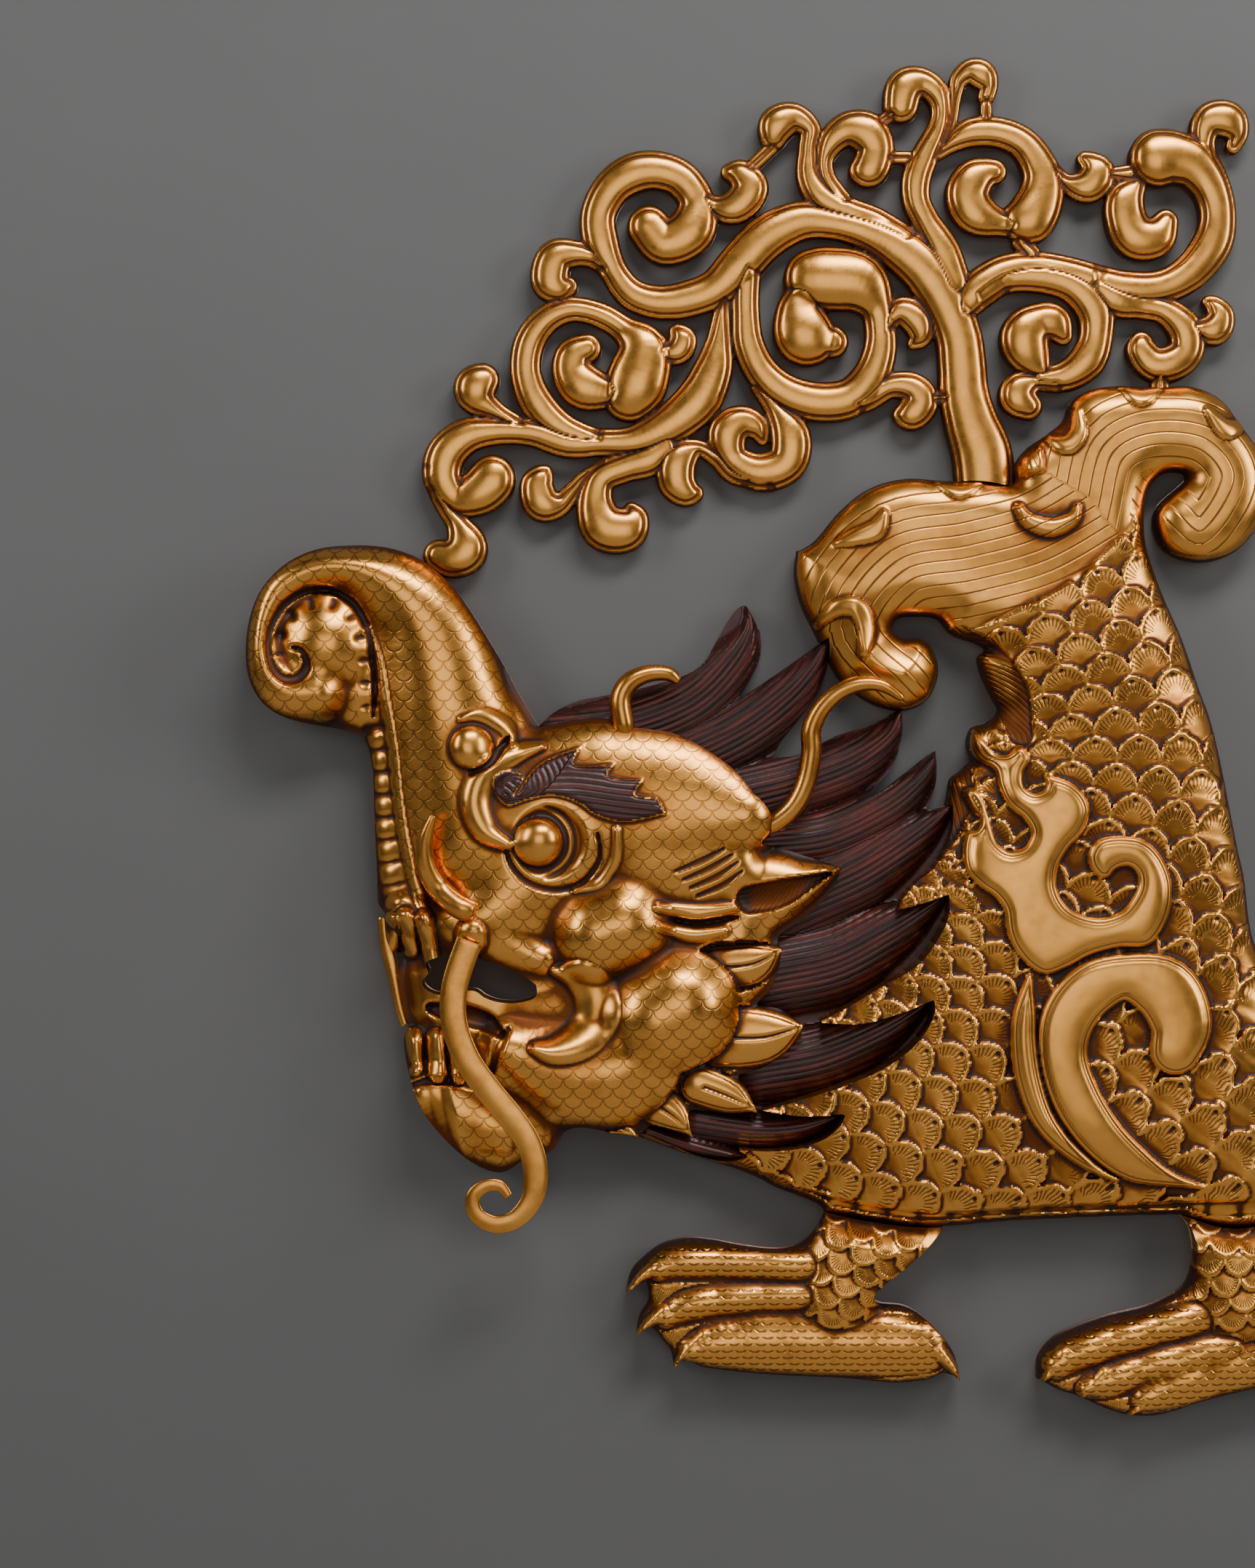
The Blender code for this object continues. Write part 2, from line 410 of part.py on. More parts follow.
def flow(points, x, y):
    """Length along a centre line and offset across it."""
    line = spline(points, 8)
    best = np.full(x.shape, 1e9)
    length = np.zeros(x.shape)
    offset = np.zeros(x.shape)
    walked = 0.0
    for a, b in zip(line[:-1], line[1:]):
        along = b - a
        step = np.hypot(*along)
        t = np.clip(((x - a[0]) * along[0] + (y - a[1]) * along[1]) / step**2, 0, 1)
        dx, dy = x - a[0] - t * along[0], y - a[1] - t * along[1]
        closer = np.hypot(dx, dy) < best
        best[closer] = np.hypot(dx, dy)[closer]
        length[closer] = (walked + t * step)[closer]
        offset[closer] = ((along[0] * dy - along[1] * dx) / step)[closer]
        walked += step
    return length, offset


def beside(inside, neighbours):
    """What is left of an outline beside its neighbours, a seam away from each."""
    for neighbour in neighbours:
        inside = np.minimum(inside, -neighbour - SEAM / UNIT)
    return inside


def head_outline(x, y):
    return np.minimum(outline(HEAD, x, y), -outline(MOUTH_GAP, x, y))


def mane_outline(x, y):
    return beside(outline(MANE, x, y), [outline(HEAD, x, y)])


def body_outline(x, y):
    return beside(outline(BODY, x, y), [outline(HEAD, x, y), outline(MANE, x, y)])


def far_whisker_outline(x, y):
    return beside(branch(WHISKER_FAR, x, y)[0], [outline(HEAD, x, y) + SEAM / UNIT])


def head_height(x, y):
    swellings = [
        lump(TRUNK, TRUNK_RISE, x, y),
        ball(*TRUNK_BALL, TRUNK_RISE, x, y),
        lump(THROAT, 0.5 * TRUNK_RISE, x, y),
        lump(CRANIUM, SKULL_RISE, x, y),
        lump(FACE, SKULL_RISE, x, y),
        ball(*UPPER_CHEEK, CHEEK_RISE, x, y),
        ball(*LOWER_CHEEK, CHEEK_RISE, x, y),
        lump(JAW, SKULL_RISE, x, y),
        lump(CHIN, JAW_RISE, x, y),
        lump(UPPER_LIP, JAW_RISE, x, y),
        lump(EAR, EAR_RISE, x, y),
    ]
    height = HEAD_RIM + blend(swellings, HEAD_VALLEY)
    for leaf in FRILL:
        height = np.maximum(height, HEAD_RIM + lump(leaf, LEAF_RISE, x, y))
    height += ball(*NOSTRIL, NOSTRIL_RISE, x, y) + ball(*EYE, EYE_RISE, x, y)
    height += ball(*WHISKER_ROOT, WHISKER_ROOT_RISE, x, y)
    for ridge, rise in HEAD_RIDGES:
        height += lump(ridge, rise, x, y)
    for tooth in TEETH:
        height += lump(tooth, TOOTH_RISE, x, y)
    height += BROW_RISE * rounded(outline(EYEBROW, x, y), BROW_ROUND)
    length, offset = flow(THROAT_RIBS, x, y)
    band = np.clip(1 - np.abs(offset) / RIB_REACH, 0, 1) * (length > 1)
    height -= band * (RIB_DEPTH + RIB_WAVE * np.cos(2 * np.pi * length / RIB_PITCH))
    height -= lump(EAR_HOLLOW, EAR_DEPTH, x, y)
    return height - lump(LIP_GROOVE, LIP_DEPTH, x, y)


def mane_height(x, y):
    height = np.full(x.shape, MANE_RIM)
    for number, lock in enumerate(LOCKS):
        height = np.maximum(height, MANE_RIM + lump(lock, LOCK_RISE + LOCK_STEP * number, x, y))
    return height


def body_height(x, y):
    inside = outline(BODY, x, y)
    trunk_part = BODY_RISE * rounded(inside, BODY_ROUND)
    fin_part = FIN_RISE * rounded(inside, FIN_ROUND)
    share = np.clip((y - FIN_TOP) / (FIN_END - FIN_TOP), 0, 1)
    share = share**2 * (3 - 2 * share)
    height = BODY_RIM + share * trunk_part + (1 - share) * fin_part
    height += WING_RISE * rounded(outline(WING, x, y), BAND_ROUND)
    for band in SPIRAL_BANDS:
        height += WING_RISE * rounded(branch(band, x, y)[0], BAND_ROUND)
    return height + FOLD_RISE * rounded(branch(FIN_FOLD, x, y)[0], BAND_ROUND)


def crest_outline(x, y):
    scrolls = np.maximum.reduce([branch(points, x, y)[0] for points in CREST.values()])
    return beside(scrolls, [outline(HEAD, x, y), outline(BODY, x, y)])


def crest_height(x, y):
    full = np.maximum.reduce([branch(points, x, y)[1] for points in CREST.values()])
    return CREST_RIM + CREST_ROUNDNESS * full * UNIT


def leg_outline(points):
    return lambda x, y: beside(outline(points, x, y), [outline(BODY, x, y)])


def leg_height(legs, toes, claws):
    def height(x, y):
        parts = [lump(leg, LEG_RISE, x, y) for leg in legs]
        parts += [lump(toe, TOE_RISE, x, y) for toe in toes]
        raised = LEG_RIM + blend(parts, LEG_VALLEY)
        for claw in claws:
            raised = np.maximum(raised, LEG_RIM + CLAW_LIFT + lump(claw, CLAW_RISE, x, y))
        return raised
    return height


def to_world(x, y, depth):
    """Drawing place and depth in front of the wall, as metres."""
    return np.column_stack([(x - MOUNT_POINT[0]) * UNIT, -np.asarray(depth), (MOUNT_POINT[1] - y) * UNIT])


def rim_edges(bm):
    return [edge for edge in bm.edges if edge.is_boundary]


def open_pinches(bm):
    """Removes faces where the sheet touches itself at one point only."""
    for _ in range(4):
        pinched = [v for v in bm.verts if sum(e.is_boundary for e in v.link_edges) > 2]
        if not pinched:
            break
        faces = list({f for v in pinched for f in v.link_faces})
        bmesh.ops.delete(bm, geom=faces, context="FACES")
    loose = [v for v in bm.verts if not v.link_faces]
    bmesh.ops.delete(bm, geom=loose, context="VERTS")


def keep_largest(bm):
    """Keeps the largest piece of a mesh whose faces meet along edges."""
    left = set(bm.faces)
    largest = []
    while left:
        stack = [left.pop()]
        piece = list(stack)
        while stack:
            for edge in stack.pop().edges:
                for face in edge.link_faces:
                    if face in left:
                        left.remove(face)
                        piece.append(face)
                        stack.append(face)
        largest = max(largest, piece, key=len)
    kept = set(largest)
    bmesh.ops.delete(bm, geom=[face for face in bm.faces if face not in kept], context="FACES")
    loose = [vert for vert in bm.verts if not vert.link_faces]
    bmesh.ops.delete(bm, geom=loose, context="VERTS")


def clipped_grid(field, cell):
    """A flat grid cut to the outline, its rim moved onto it; drawing units in x and y."""
    left, top, right, bottom = field.bounds
    columns = round((right - left) / cell)
    rows = round((bottom - top) / cell)
    bm = bmesh.new()
    bmesh.ops.create_grid(bm, x_segments=columns, y_segments=rows, size=0.5)
    for vert in bm.verts:
        vert.co.x = left + (vert.co.x + 0.5) * (right - left)
        vert.co.y = top + (vert.co.y + 0.5) * (bottom - top)
    centres = np.array([face.calc_center_median()[:2] for face in bm.faces])
    keep = field.inside(centres[:, 0], centres[:, 1]) > 0
    outside = [face for face, kept in zip(bm.faces, keep) if not kept]
    bmesh.ops.delete(bm, geom=outside, context="FACES")
    open_pinches(bm)
    keep_largest(bm)
    rim = list({vert for edge in rim_edges(bm) for vert in edge.verts})
    place = np.array([vert.co[:2] for vert in rim])
    for _ in range(3):
        x, y = place[:, 0], place[:, 1]
        here = field.inside(x, y)
        slope = np.column_stack([field.inside(x + 0.5, y) - here, field.inside(x, y + 0.5) - here]) / 0.5
        size = np.clip((slope**2).sum(axis=1), 0.25, None)
        place -= np.clip(here / size, -cell, cell)[:, None] * slope
    for vert, (x, y) in zip(rim, place):
        vert.co.x, vert.co.y = x, y
    return bm


class Sheet:
    """An outline and a height over it, with the part of the drawing that they fill."""

    def __init__(self, inside, height, points, margin=12):
        self.inside = inside
        self.height = height
        place = np.array([point[:2] for point in points], float)
        reach = max([point[2] for point in points if len(point) > 2], default=0)
        low = place.min(axis=0) - reach - margin
        high = place.max(axis=0) + reach + margin
        self.bounds = (low[0], low[1], high[0], high[1])


def material(name, colour, roughness, metallic):
    finish = bpy.data.materials.new(name)
    finish.use_nodes = True
    shader = finish.node_tree.nodes["Principled BSDF"]
    shader.inputs["Base Color"].default_value = (*colour, 1)
    shader.inputs["Roughness"].default_value = roughness
    shader.inputs["Metallic"].default_value = metallic
    return finish


def put(name, mesh, collection, finish=None):
    obj = bpy.data.objects.new(name, mesh)
    collection.objects.link(obj)
    if finish:
        mesh.materials.clear()
        mesh.materials.append(finish)
    return obj


def evaluated_mesh(obj):
    """The object's mesh with its modifiers applied; the object itself is removed."""
    graph = bpy.context.evaluated_depsgraph_get()
    mesh = bpy.data.meshes.new_from_object(obj.evaluated_get(graph))
    bpy.data.objects.remove(obj)
    return mesh


def raised_front(sheet, cell, triangles, scratch):
    """The raised front of a sheet, thinned to a number of triangles."""
    bm = clipped_grid(sheet, cell)
    place = np.array([vert.co[:2] for vert in bm.verts])
    world = to_world(place[:, 0], place[:, 1], sheet.height(place[:, 0], place[:, 1]))
    for vert, co in zip(bm.verts, world):
        vert.co = co
    bmesh.ops.triangulate(bm, faces=bm.faces[:], quad_method="SHORT_EDGE")
    mesh = bpy.data.meshes.new("front")
    bm.to_mesh(mesh)
    bm.free()
    front = put("front", mesh, scratch)
    thin = front.modifiers.new("thin", "DECIMATE")
    thin.ratio = triangles / len(mesh.polygons)
    return evaluated_mesh(front)


def close_to_wall(mesh):
    """Gives the raised front a wall down to the wall plane, and a flat back there."""
    bm = bmesh.new()
    bm.from_mesh(mesh)
    open_pinches(bm)
    keep_largest(bm)
    back = bmesh.ops.extrude_face_region(bm, geom=bm.faces[:], use_keep_orig=True)
    verts = {item for item in back["geom"] if isinstance(item, bmesh.types.BMVert)}
    for vert in verts:
        vert.co.y = 0
    bmesh.ops.recalc_face_normals(bm, faces=bm.faces[:])
    inner = [vert for vert in verts if all(verts.issuperset(face.verts) for face in vert.link_faces)]
    edges = [edge for edge in bm.edges if all(verts.issuperset(face.verts) for face in edge.link_faces)]
    bmesh.ops.dissolve_limit(bm, angle_limit=BACK_ANGLE, verts=inner, edges=edges)
    bmesh.ops.triangulate(bm, faces=bm.faces[:])
    bm.to_mesh(mesh)
    bm.free()


def cut(obj, cutter_list):
    """Cuts the blocks out of a sheet and keeps its largest piece."""
    name, finish, collection = obj.name, obj.data.materials[0], obj.users_collection[0]
    for cutter in cutter_list:
        step = obj.modifiers.new(cutter.name, "BOOLEAN")
        step.operation = "DIFFERENCE"
        step.solver = "EXACT"
        step.use_self = True
        step.object = cutter
    bpy.context.view_layer.update()
    mesh = evaluated_mesh(obj)
    bm = bmesh.new()
    bm.from_mesh(mesh)
    keep_largest(bm)
    bmesh.ops.remove_doubles(bm, verts=bm.verts[:], dist=MERGE)
    bmesh.ops.triangulate(bm, faces=bm.faces[:])
    bm.to_mesh(mesh)
    bm.free()
    mesh.name = name
    return put(name, mesh, collection, finish)


def tube(name, route, depths, collection, grow=0.0):
    """A round tapering tube through the route's points at their depths in front of the wall."""
    data = bpy.data.curves.new(name, "CURVE")
    data.dimensions = "3D"
    data.bevel_depth = 1.0
    data.bevel_resolution = 2
    data.use_fill_caps = True
    path = data.splines.new("POLY")
    path.points.add(len(route) - 1)
    for point, (x, y, radius), depth in zip(path.points, route, depths):
        point.co = (*to_world(np.array([x]), np.array([y]), [depth])[0], 1)
        point.radius = radius * UNIT + grow
    curve = bpy.data.objects.new(name, data)
    collection.objects.link(curve)
    bpy.context.view_layer.update()
    mesh = evaluated_mesh(curve)
    bm = bmesh.new()
    bm.from_mesh(mesh)
    bmesh.ops.remove_doubles(bm, verts=bm.verts[:], dist=MERGE)
    bmesh.ops.recalc_face_normals(bm, faces=bm.faces[:])
    bmesh.ops.triangulate(bm, faces=bm.faces[:])
    bm.to_mesh(mesh)
    bm.free()
    for polygon in mesh.polygons:
        polygon.use_smooth = True
    return put(name, mesh, collection)


def flat_strip(name, route, thickness, standoff, collection, grow=0.0):
    """A flat strip of changing width, parallel to the wall."""
    line = np.array(route, float)
    ahead = np.gradient(line[:, :2], axis=0)
    across = np.column_stack([-ahead[:, 1], ahead[:, 0]]) / np.linalg.norm(ahead, axis=1)[:, None]
    half = line[:, 2:] + grow / UNIT
    left = line[:, :2] + across * half
    right = line[:, :2] - across * half
    bm = bmesh.new()
    rows = []
    for a, b in zip(left, right):
        ends = to_world(np.array([a[0], b[0]]), np.array([a[1], b[1]]), [standoff, standoff])
        rows.append([bm.verts.new(end) for end in ends])
    for (a, b), (c, d) in zip(rows[:-1], rows[1:]):
        bm.faces.new((a, b, d, c))
    slab = bmesh.ops.extrude_face_region(bm, geom=bm.faces[:])
    for item in slab["geom"]:
        if isinstance(item, bmesh.types.BMVert):
            item.co.y -= thickness
    bmesh.ops.recalc_face_normals(bm, faces=bm.faces[:])
    bmesh.ops.triangulate(bm, faces=bm.faces[:])
    mesh = bpy.data.meshes.new(name)
    bm.to_mesh(mesh)
    bm.free()
    return put(name, mesh, collection)


def sheet_object(name, sheet, cell, finish, collection):
    mesh = raised_front(sheet, cell, FRONT_TRIANGLES[name], collection)
    close_to_wall(mesh)
    mesh.name = name
    return put(name, mesh, collection, finish)


def wire(cutter):
    cutter.hide_render = True
    cutter.display_type = "WIRE"
    return cutter


def horn_depths():
    """Depth in front of the wall at each point of the horns and of the tusk."""
    mane_top = MANE_RIM + LOCK_RISE + LOCK_STEP * len(LOCKS) + SOCKET_CLEARANCE
    near = np.linspace(HORN_STANDOFF - 0.5 * HORN_SWING, HORN_STANDOFF + 0.5 * HORN_SWING, len(HORN_NEAR))
    near = np.maximum(near, mane_top + np.array(HORN_NEAR)[:, 2] * UNIT)
    far = mane_top + np.array(HORN_FAR)[:, 2] * UNIT
    route = np.array(TUSK, float)
    lift = np.linspace(TUSK_LIFT, -1.5 * route[-1, 2] * UNIT, len(TUSK))
    tusk = head_height(route[:, 0], route[:, 1]) + route[:, 2] * UNIT + lift
    return [("horn_near", HORN_NEAR, near), ("horn_far", HORN_FAR, far), ("tusk", TUSK, tusk)]


def build():
    for obj in list(bpy.data.objects):
        bpy.data.objects.remove(obj)
    dragon = bpy.data.collections.new("copper_dragon")
    cutters = bpy.data.collections.new("cutters")
    bpy.context.scene.collection.children.link(dragon)
    bpy.context.scene.collection.children.link(cutters)
    gilt = material("gilt_copper", (0.60, 0.31, 0.09), 0.32, 1.0)
    dark = material("dark_lacquered_copper", (0.045, 0.018, 0.015), 0.42, 0.3)

    sockets = []
    for name, route, depths in horn_depths():
        horn = tube(name, route, depths, dragon)
        horn.data.materials.append(gilt)
        sockets.append(wire(tube(name + "_socket", route, depths, cutters, grow=SOCKET_CLEARANCE)))

    near = flat_strip("whisker_near", WHISKER_NEAR, WHISKER_THICKNESS, WHISKER_STANDOFF, dragon)
    near.data.materials.append(gilt)
    seat = WHISKER_STANDOFF - SOCKET_CLEARANCE
    slot = flat_strip("whisker_slot", WHISKER_NEAR, CUTTER_FRONT, seat, cutters, grow=SOCKET_CLEARANCE)
    sockets.append(wire(slot))

    head = sheet_object("head", Sheet(head_outline, head_height, HEAD), SHEET_CELL, gilt, dragon)
    cut(head, sockets)
    sheet_object("mane", Sheet(mane_outline, mane_height, MANE), SHEET_CELL, dark, dragon)
    sheet_object("body", Sheet(body_outline, body_height, BODY), SHEET_CELL, gilt, dragon)

    crest_points = [point for points in CREST.values() for point in points]
    sheet_object("scroll_crest", Sheet(crest_outline, crest_height, crest_points), CREST_CELL, gilt, dragon)

    for name, points, parts in (
        ("front_leg", FRONT_LEG, FRONT_LEG_PARTS),
        ("hind_leg", HIND_LEG, HIND_LEG_PARTS),
    ):
        leg_sheet = Sheet(leg_outline(points), leg_height(*parts), points)
        sheet_object(name, leg_sheet, SHEET_CELL, gilt, dragon)

    far_sheet = Sheet(far_whisker_outline, lambda x, y: np.full(x.shape, FAR_WHISKER_THICKNESS), WHISKER_FAR)
    sheet_object("whisker_far", far_sheet, CREST_CELL, gilt, dragon)
    bpy.context.view_layer.update()


build()
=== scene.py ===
# %% [markdown]
# # A gilt copper dragon for a wall
#
# The real piece is repousse work: thin copper is hammered from behind into soft domes, chased from the
# front with small punches, gilded, and darkened with a brown patina that stays in the creases. Each big
# part (head, mane, body, crest, legs) is one sheet that lies flat on the wall. A hammered sheet is a
# height field, so this lesson raises a fine flat grid to a height worked out from drawn centre lines and
# outlines. The horns, the tusk and the whiskers are separate rods and strips that were soldered on.

# %% Load the frame
import math

import bmesh
import bpy
import numpy as np
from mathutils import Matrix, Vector
from mathutils.geometry import delaunay_2d_cdt


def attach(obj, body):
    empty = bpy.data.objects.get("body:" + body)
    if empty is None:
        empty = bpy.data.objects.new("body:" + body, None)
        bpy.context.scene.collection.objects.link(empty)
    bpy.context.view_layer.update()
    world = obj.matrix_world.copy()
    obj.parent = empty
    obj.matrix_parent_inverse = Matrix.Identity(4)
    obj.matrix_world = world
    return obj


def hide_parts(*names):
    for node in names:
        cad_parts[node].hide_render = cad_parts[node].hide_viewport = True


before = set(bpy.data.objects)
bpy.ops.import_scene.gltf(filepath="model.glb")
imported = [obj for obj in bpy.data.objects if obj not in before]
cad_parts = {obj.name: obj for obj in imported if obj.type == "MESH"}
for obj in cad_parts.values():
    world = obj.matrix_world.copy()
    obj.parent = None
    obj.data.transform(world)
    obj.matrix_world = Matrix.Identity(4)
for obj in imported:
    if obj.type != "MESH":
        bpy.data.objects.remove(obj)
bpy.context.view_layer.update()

# %% [markdown]
# The drawing is laid out in drawing units, x to the right and y down, half a millimetre each. One point of
# it sits on the frame's origin, which is the mount on the body's flat back. The relief rises from the wall
# towards the viewer, along -Y.

# %% Scale of the drawing
UNIT = 0.0005
MOUNT_POINT = (1450, 1250)


def to_world(x, y, depth):
    """Drawing place and depth in front of the wall, as metres."""
    return np.column_stack([(x - MOUNT_POINT[0]) * UNIT, -np.asarray(depth), (MOUNT_POINT[1] - y) * UNIT])


def add_object(name, data):
    """A new object at the origin for a mesh, a curve, a light or the camera."""
    piece = bpy.data.objects.new(name, data)
    bpy.context.collection.objects.link(piece)
    return piece


def select_only(piece):
    bpy.ops.object.select_all(action="DESELECT")
    piece.select_set(True)
    bpy.context.view_layer.objects.active = piece


# %% [markdown]
# ## Drawing tools
#
# A *branch* is a centre line whose points have a radius, as a scroll of the crest or a toe has. An
# *outline* is a closed curve. Both give the distance inside them, which later places chased lines that run
# along an edge. A *lump* is a half-round swelling along a centre line: hammered domes are lumps, blended.

# %% Curves and distances
def spline(points, pieces, closed=False):
    """Smooth curve through the points; a point given twice makes a corner."""
    p = np.array(points, float)
    count = len(p)
    start = np.arange(count if closed else count - 1)

    def row(index):
        return p[index % count] if closed else p[np.clip(index, 0, count - 1)]

    a, b, c, d = row(start - 1), row(start), row(start + 1), row(start + 2)
    t = np.linspace(0, 1, pieces, endpoint=False)[:, None, None]
    curve = 0.5 * (2 * b + (c - a) * t + (2 * a - 5 * b + 4 * c - d) * t**2 + (3 * b - a - 3 * c + d) * t**3)
    curve = curve.transpose(1, 0, 2).reshape(-1, p.shape[1])
    if not closed:
        curve = np.vstack([curve, p[-1:]])
    apart = np.linalg.norm(np.diff(curve[:, :2], axis=0), axis=1) > 0.3
    return curve[np.r_[True, apart]]


def near_box(line, x, y, reach):
    """Which places lie close enough to a line to be measured against it."""
    near = (x > line[:, 0].min() - reach) & (x < line[:, 0].max() + reach)
    return near & (y > line[:, 1].min() - reach) & (y < line[:, 1].max() + reach)


def from_segment(a, b, x, y):
    """The share along a segment that lies nearest to each place, and the way from there in x and in y."""
    along = b - a
    t = np.clip(((x - a[0]) * along[0] + (y - a[1]) * along[1]) / (along[0]**2 + along[1]**2), 0, 1)
    return t, x - a[0] - t * along[0], y - a[1] - t * along[1]


def within_loops(x, y, starts, ends):
    """Which places lie inside closed loops of segments, holes left out."""
    odd = np.zeros(x.shape, bool)
    for a, b in zip(starts, ends):
        if a[1] != b[1]:
            odd ^= ((a[1] > y) != (b[1] > y)) & (x < a[0] + (y - a[1]) * (b[0] - a[0]) / (b[1] - a[1]))
    return odd


def branch(points, x, y):
    """Distance inside a branch, round height of its tube, length along it and distance across it."""
    line = spline(points, 6)
    inside = np.full(x.shape, -1e3)
    full = np.zeros(x.shape)
    length = np.zeros(x.shape)
    across = np.zeros(x.shape)
    near = near_box(line, x, y, line[:, 2].max() + 30)
    px, py = x[near], y[near]
    best, tube_best = inside[near], full[near]
    long_best, across_best = length[near], across[near]
    walked = 0.0
    for a, b in zip(line[:-1], line[1:]):
        along = b - a
        step = math.hypot(along[0], along[1])
        t, dx, dy = from_segment(a, b, px, py)
        away = np.hypot(dx, dy)
        radius = a[2] + t * along[2]
        closer = radius - away > best
        best[closer] = (radius - away)[closer]
        long_best[closer] = (walked + t * step)[closer]
        across_best[closer] = ((along[0] * dy - along[1] * dx) / step)[closer]
        tube = np.sqrt(np.clip(1 - (away / radius)**2, 0, 1)) * radius
        np.maximum(tube_best, tube, out=tube_best)
        walked += step
    inside[near], full[near] = best, tube_best
    length[near], across[near] = long_best, across_best
    return inside, full, length, across


def outline(points, x, y):
    """Distance inside a closed outline, negative outside it; far places are only roughly measured."""
    line = spline(points, 5, closed=True)
    value = np.full(x.shape, -40.0)
    near = near_box(line, x, y, 40)
    px, py = x[near], y[near]
    away = np.full(px.shape, 1e3)
    ends = np.roll(line, -1, axis=0)
    for a, b in zip(line, ends):
        _, dx, dy = from_segment(a, b, px, py)
        np.minimum(away, np.hypot(dx, dy), out=away)
    value[near] = np.where(within_loops(px, py, line, ends), away, -away)
    return value


# %% Profiles
def rounded(inside, width):
    """Quarter-round profile that is full at the given width from the edge."""
    return np.sqrt(1 - (1 - np.clip(inside / width, 0, 1))**2)


def ramp(value, low, high):
    """Smooth step from 0 at low to 1 at high."""
    t = np.clip((value - low) / (high - low), 0, 1)
    return t * t * (3 - 2 * t)


def groove(value, place, width):
    """Soft line, 1 where the value is at its place and 0 from the width on."""
    t = np.clip(1 - np.abs(value - place) / width, 0, 1)
    return t * t * (3 - 2 * t)


def lump(points, rise, x, y):
    """Half-round swelling along a branch, with the same rise all along."""
    line = spline(points, 6)
    full = np.zeros(x.shape)
    near = near_box(line, x, y, line[:, 2].max())
    px, py = x[near], y[near]
    best = full[near]
    for a, b in zip(line[:-1], line[1:]):
        t, dx, dy = from_segment(a, b, px, py)
        radius = a[2] + t * (b[2] - a[2])
        np.maximum(best, np.sqrt(np.clip(1 - (np.hypot(dx, dy) / radius)**2, 0, 1)), out=best)
    full[near] = best
    return rise * full


def ball(cx, cy, radius, rise, x, y):
    """Domed swelling around one point."""
    return rise * np.sqrt(np.clip(1 - ((x - cx)**2 + (y - cy)**2) / radius**2, 0, 1))


def blend(heights, softness):
    """Largest of the heights, with the valleys between them softened."""
    total = heights[0]
    for other in heights[1:]:
        overlap = np.clip(softness - np.abs(total - other), 0, None) / softness
        total = np.maximum(total, other) + softness * overlap**2 / 4
    return total


def flow(points, x, y):
    """Length along a centre line and offset across it, for rows of scales."""
    line = spline(points, 8)[:, :2]
    best = np.full(x.shape, 1e9)
    length = np.zeros(x.shape)
    offset = np.zeros(x.shape)
    walked = 0.0
    for a, b in zip(line[:-1], line[1:]):
        along = b - a
        step = np.hypot(*along)
        t, dx, dy = from_segment(a, b, x, y)
        away = np.hypot(dx, dy)
        closer = away < best
        best[closer] = away[closer]
        length[closer] = (walked + t * step)[closer]
        offset[closer] = ((along[0] * dy - along[1] * dx) / step)[closer]
        walked += step
    return length, offset


# %% [markdown]
# ## The drawing
#
# These centre lines and outlines are the drawing that the copper was cut and hammered to, the same that the
# frame's solids follow. A point is (x, y) on an outline and (x, y, radius) on a branch.

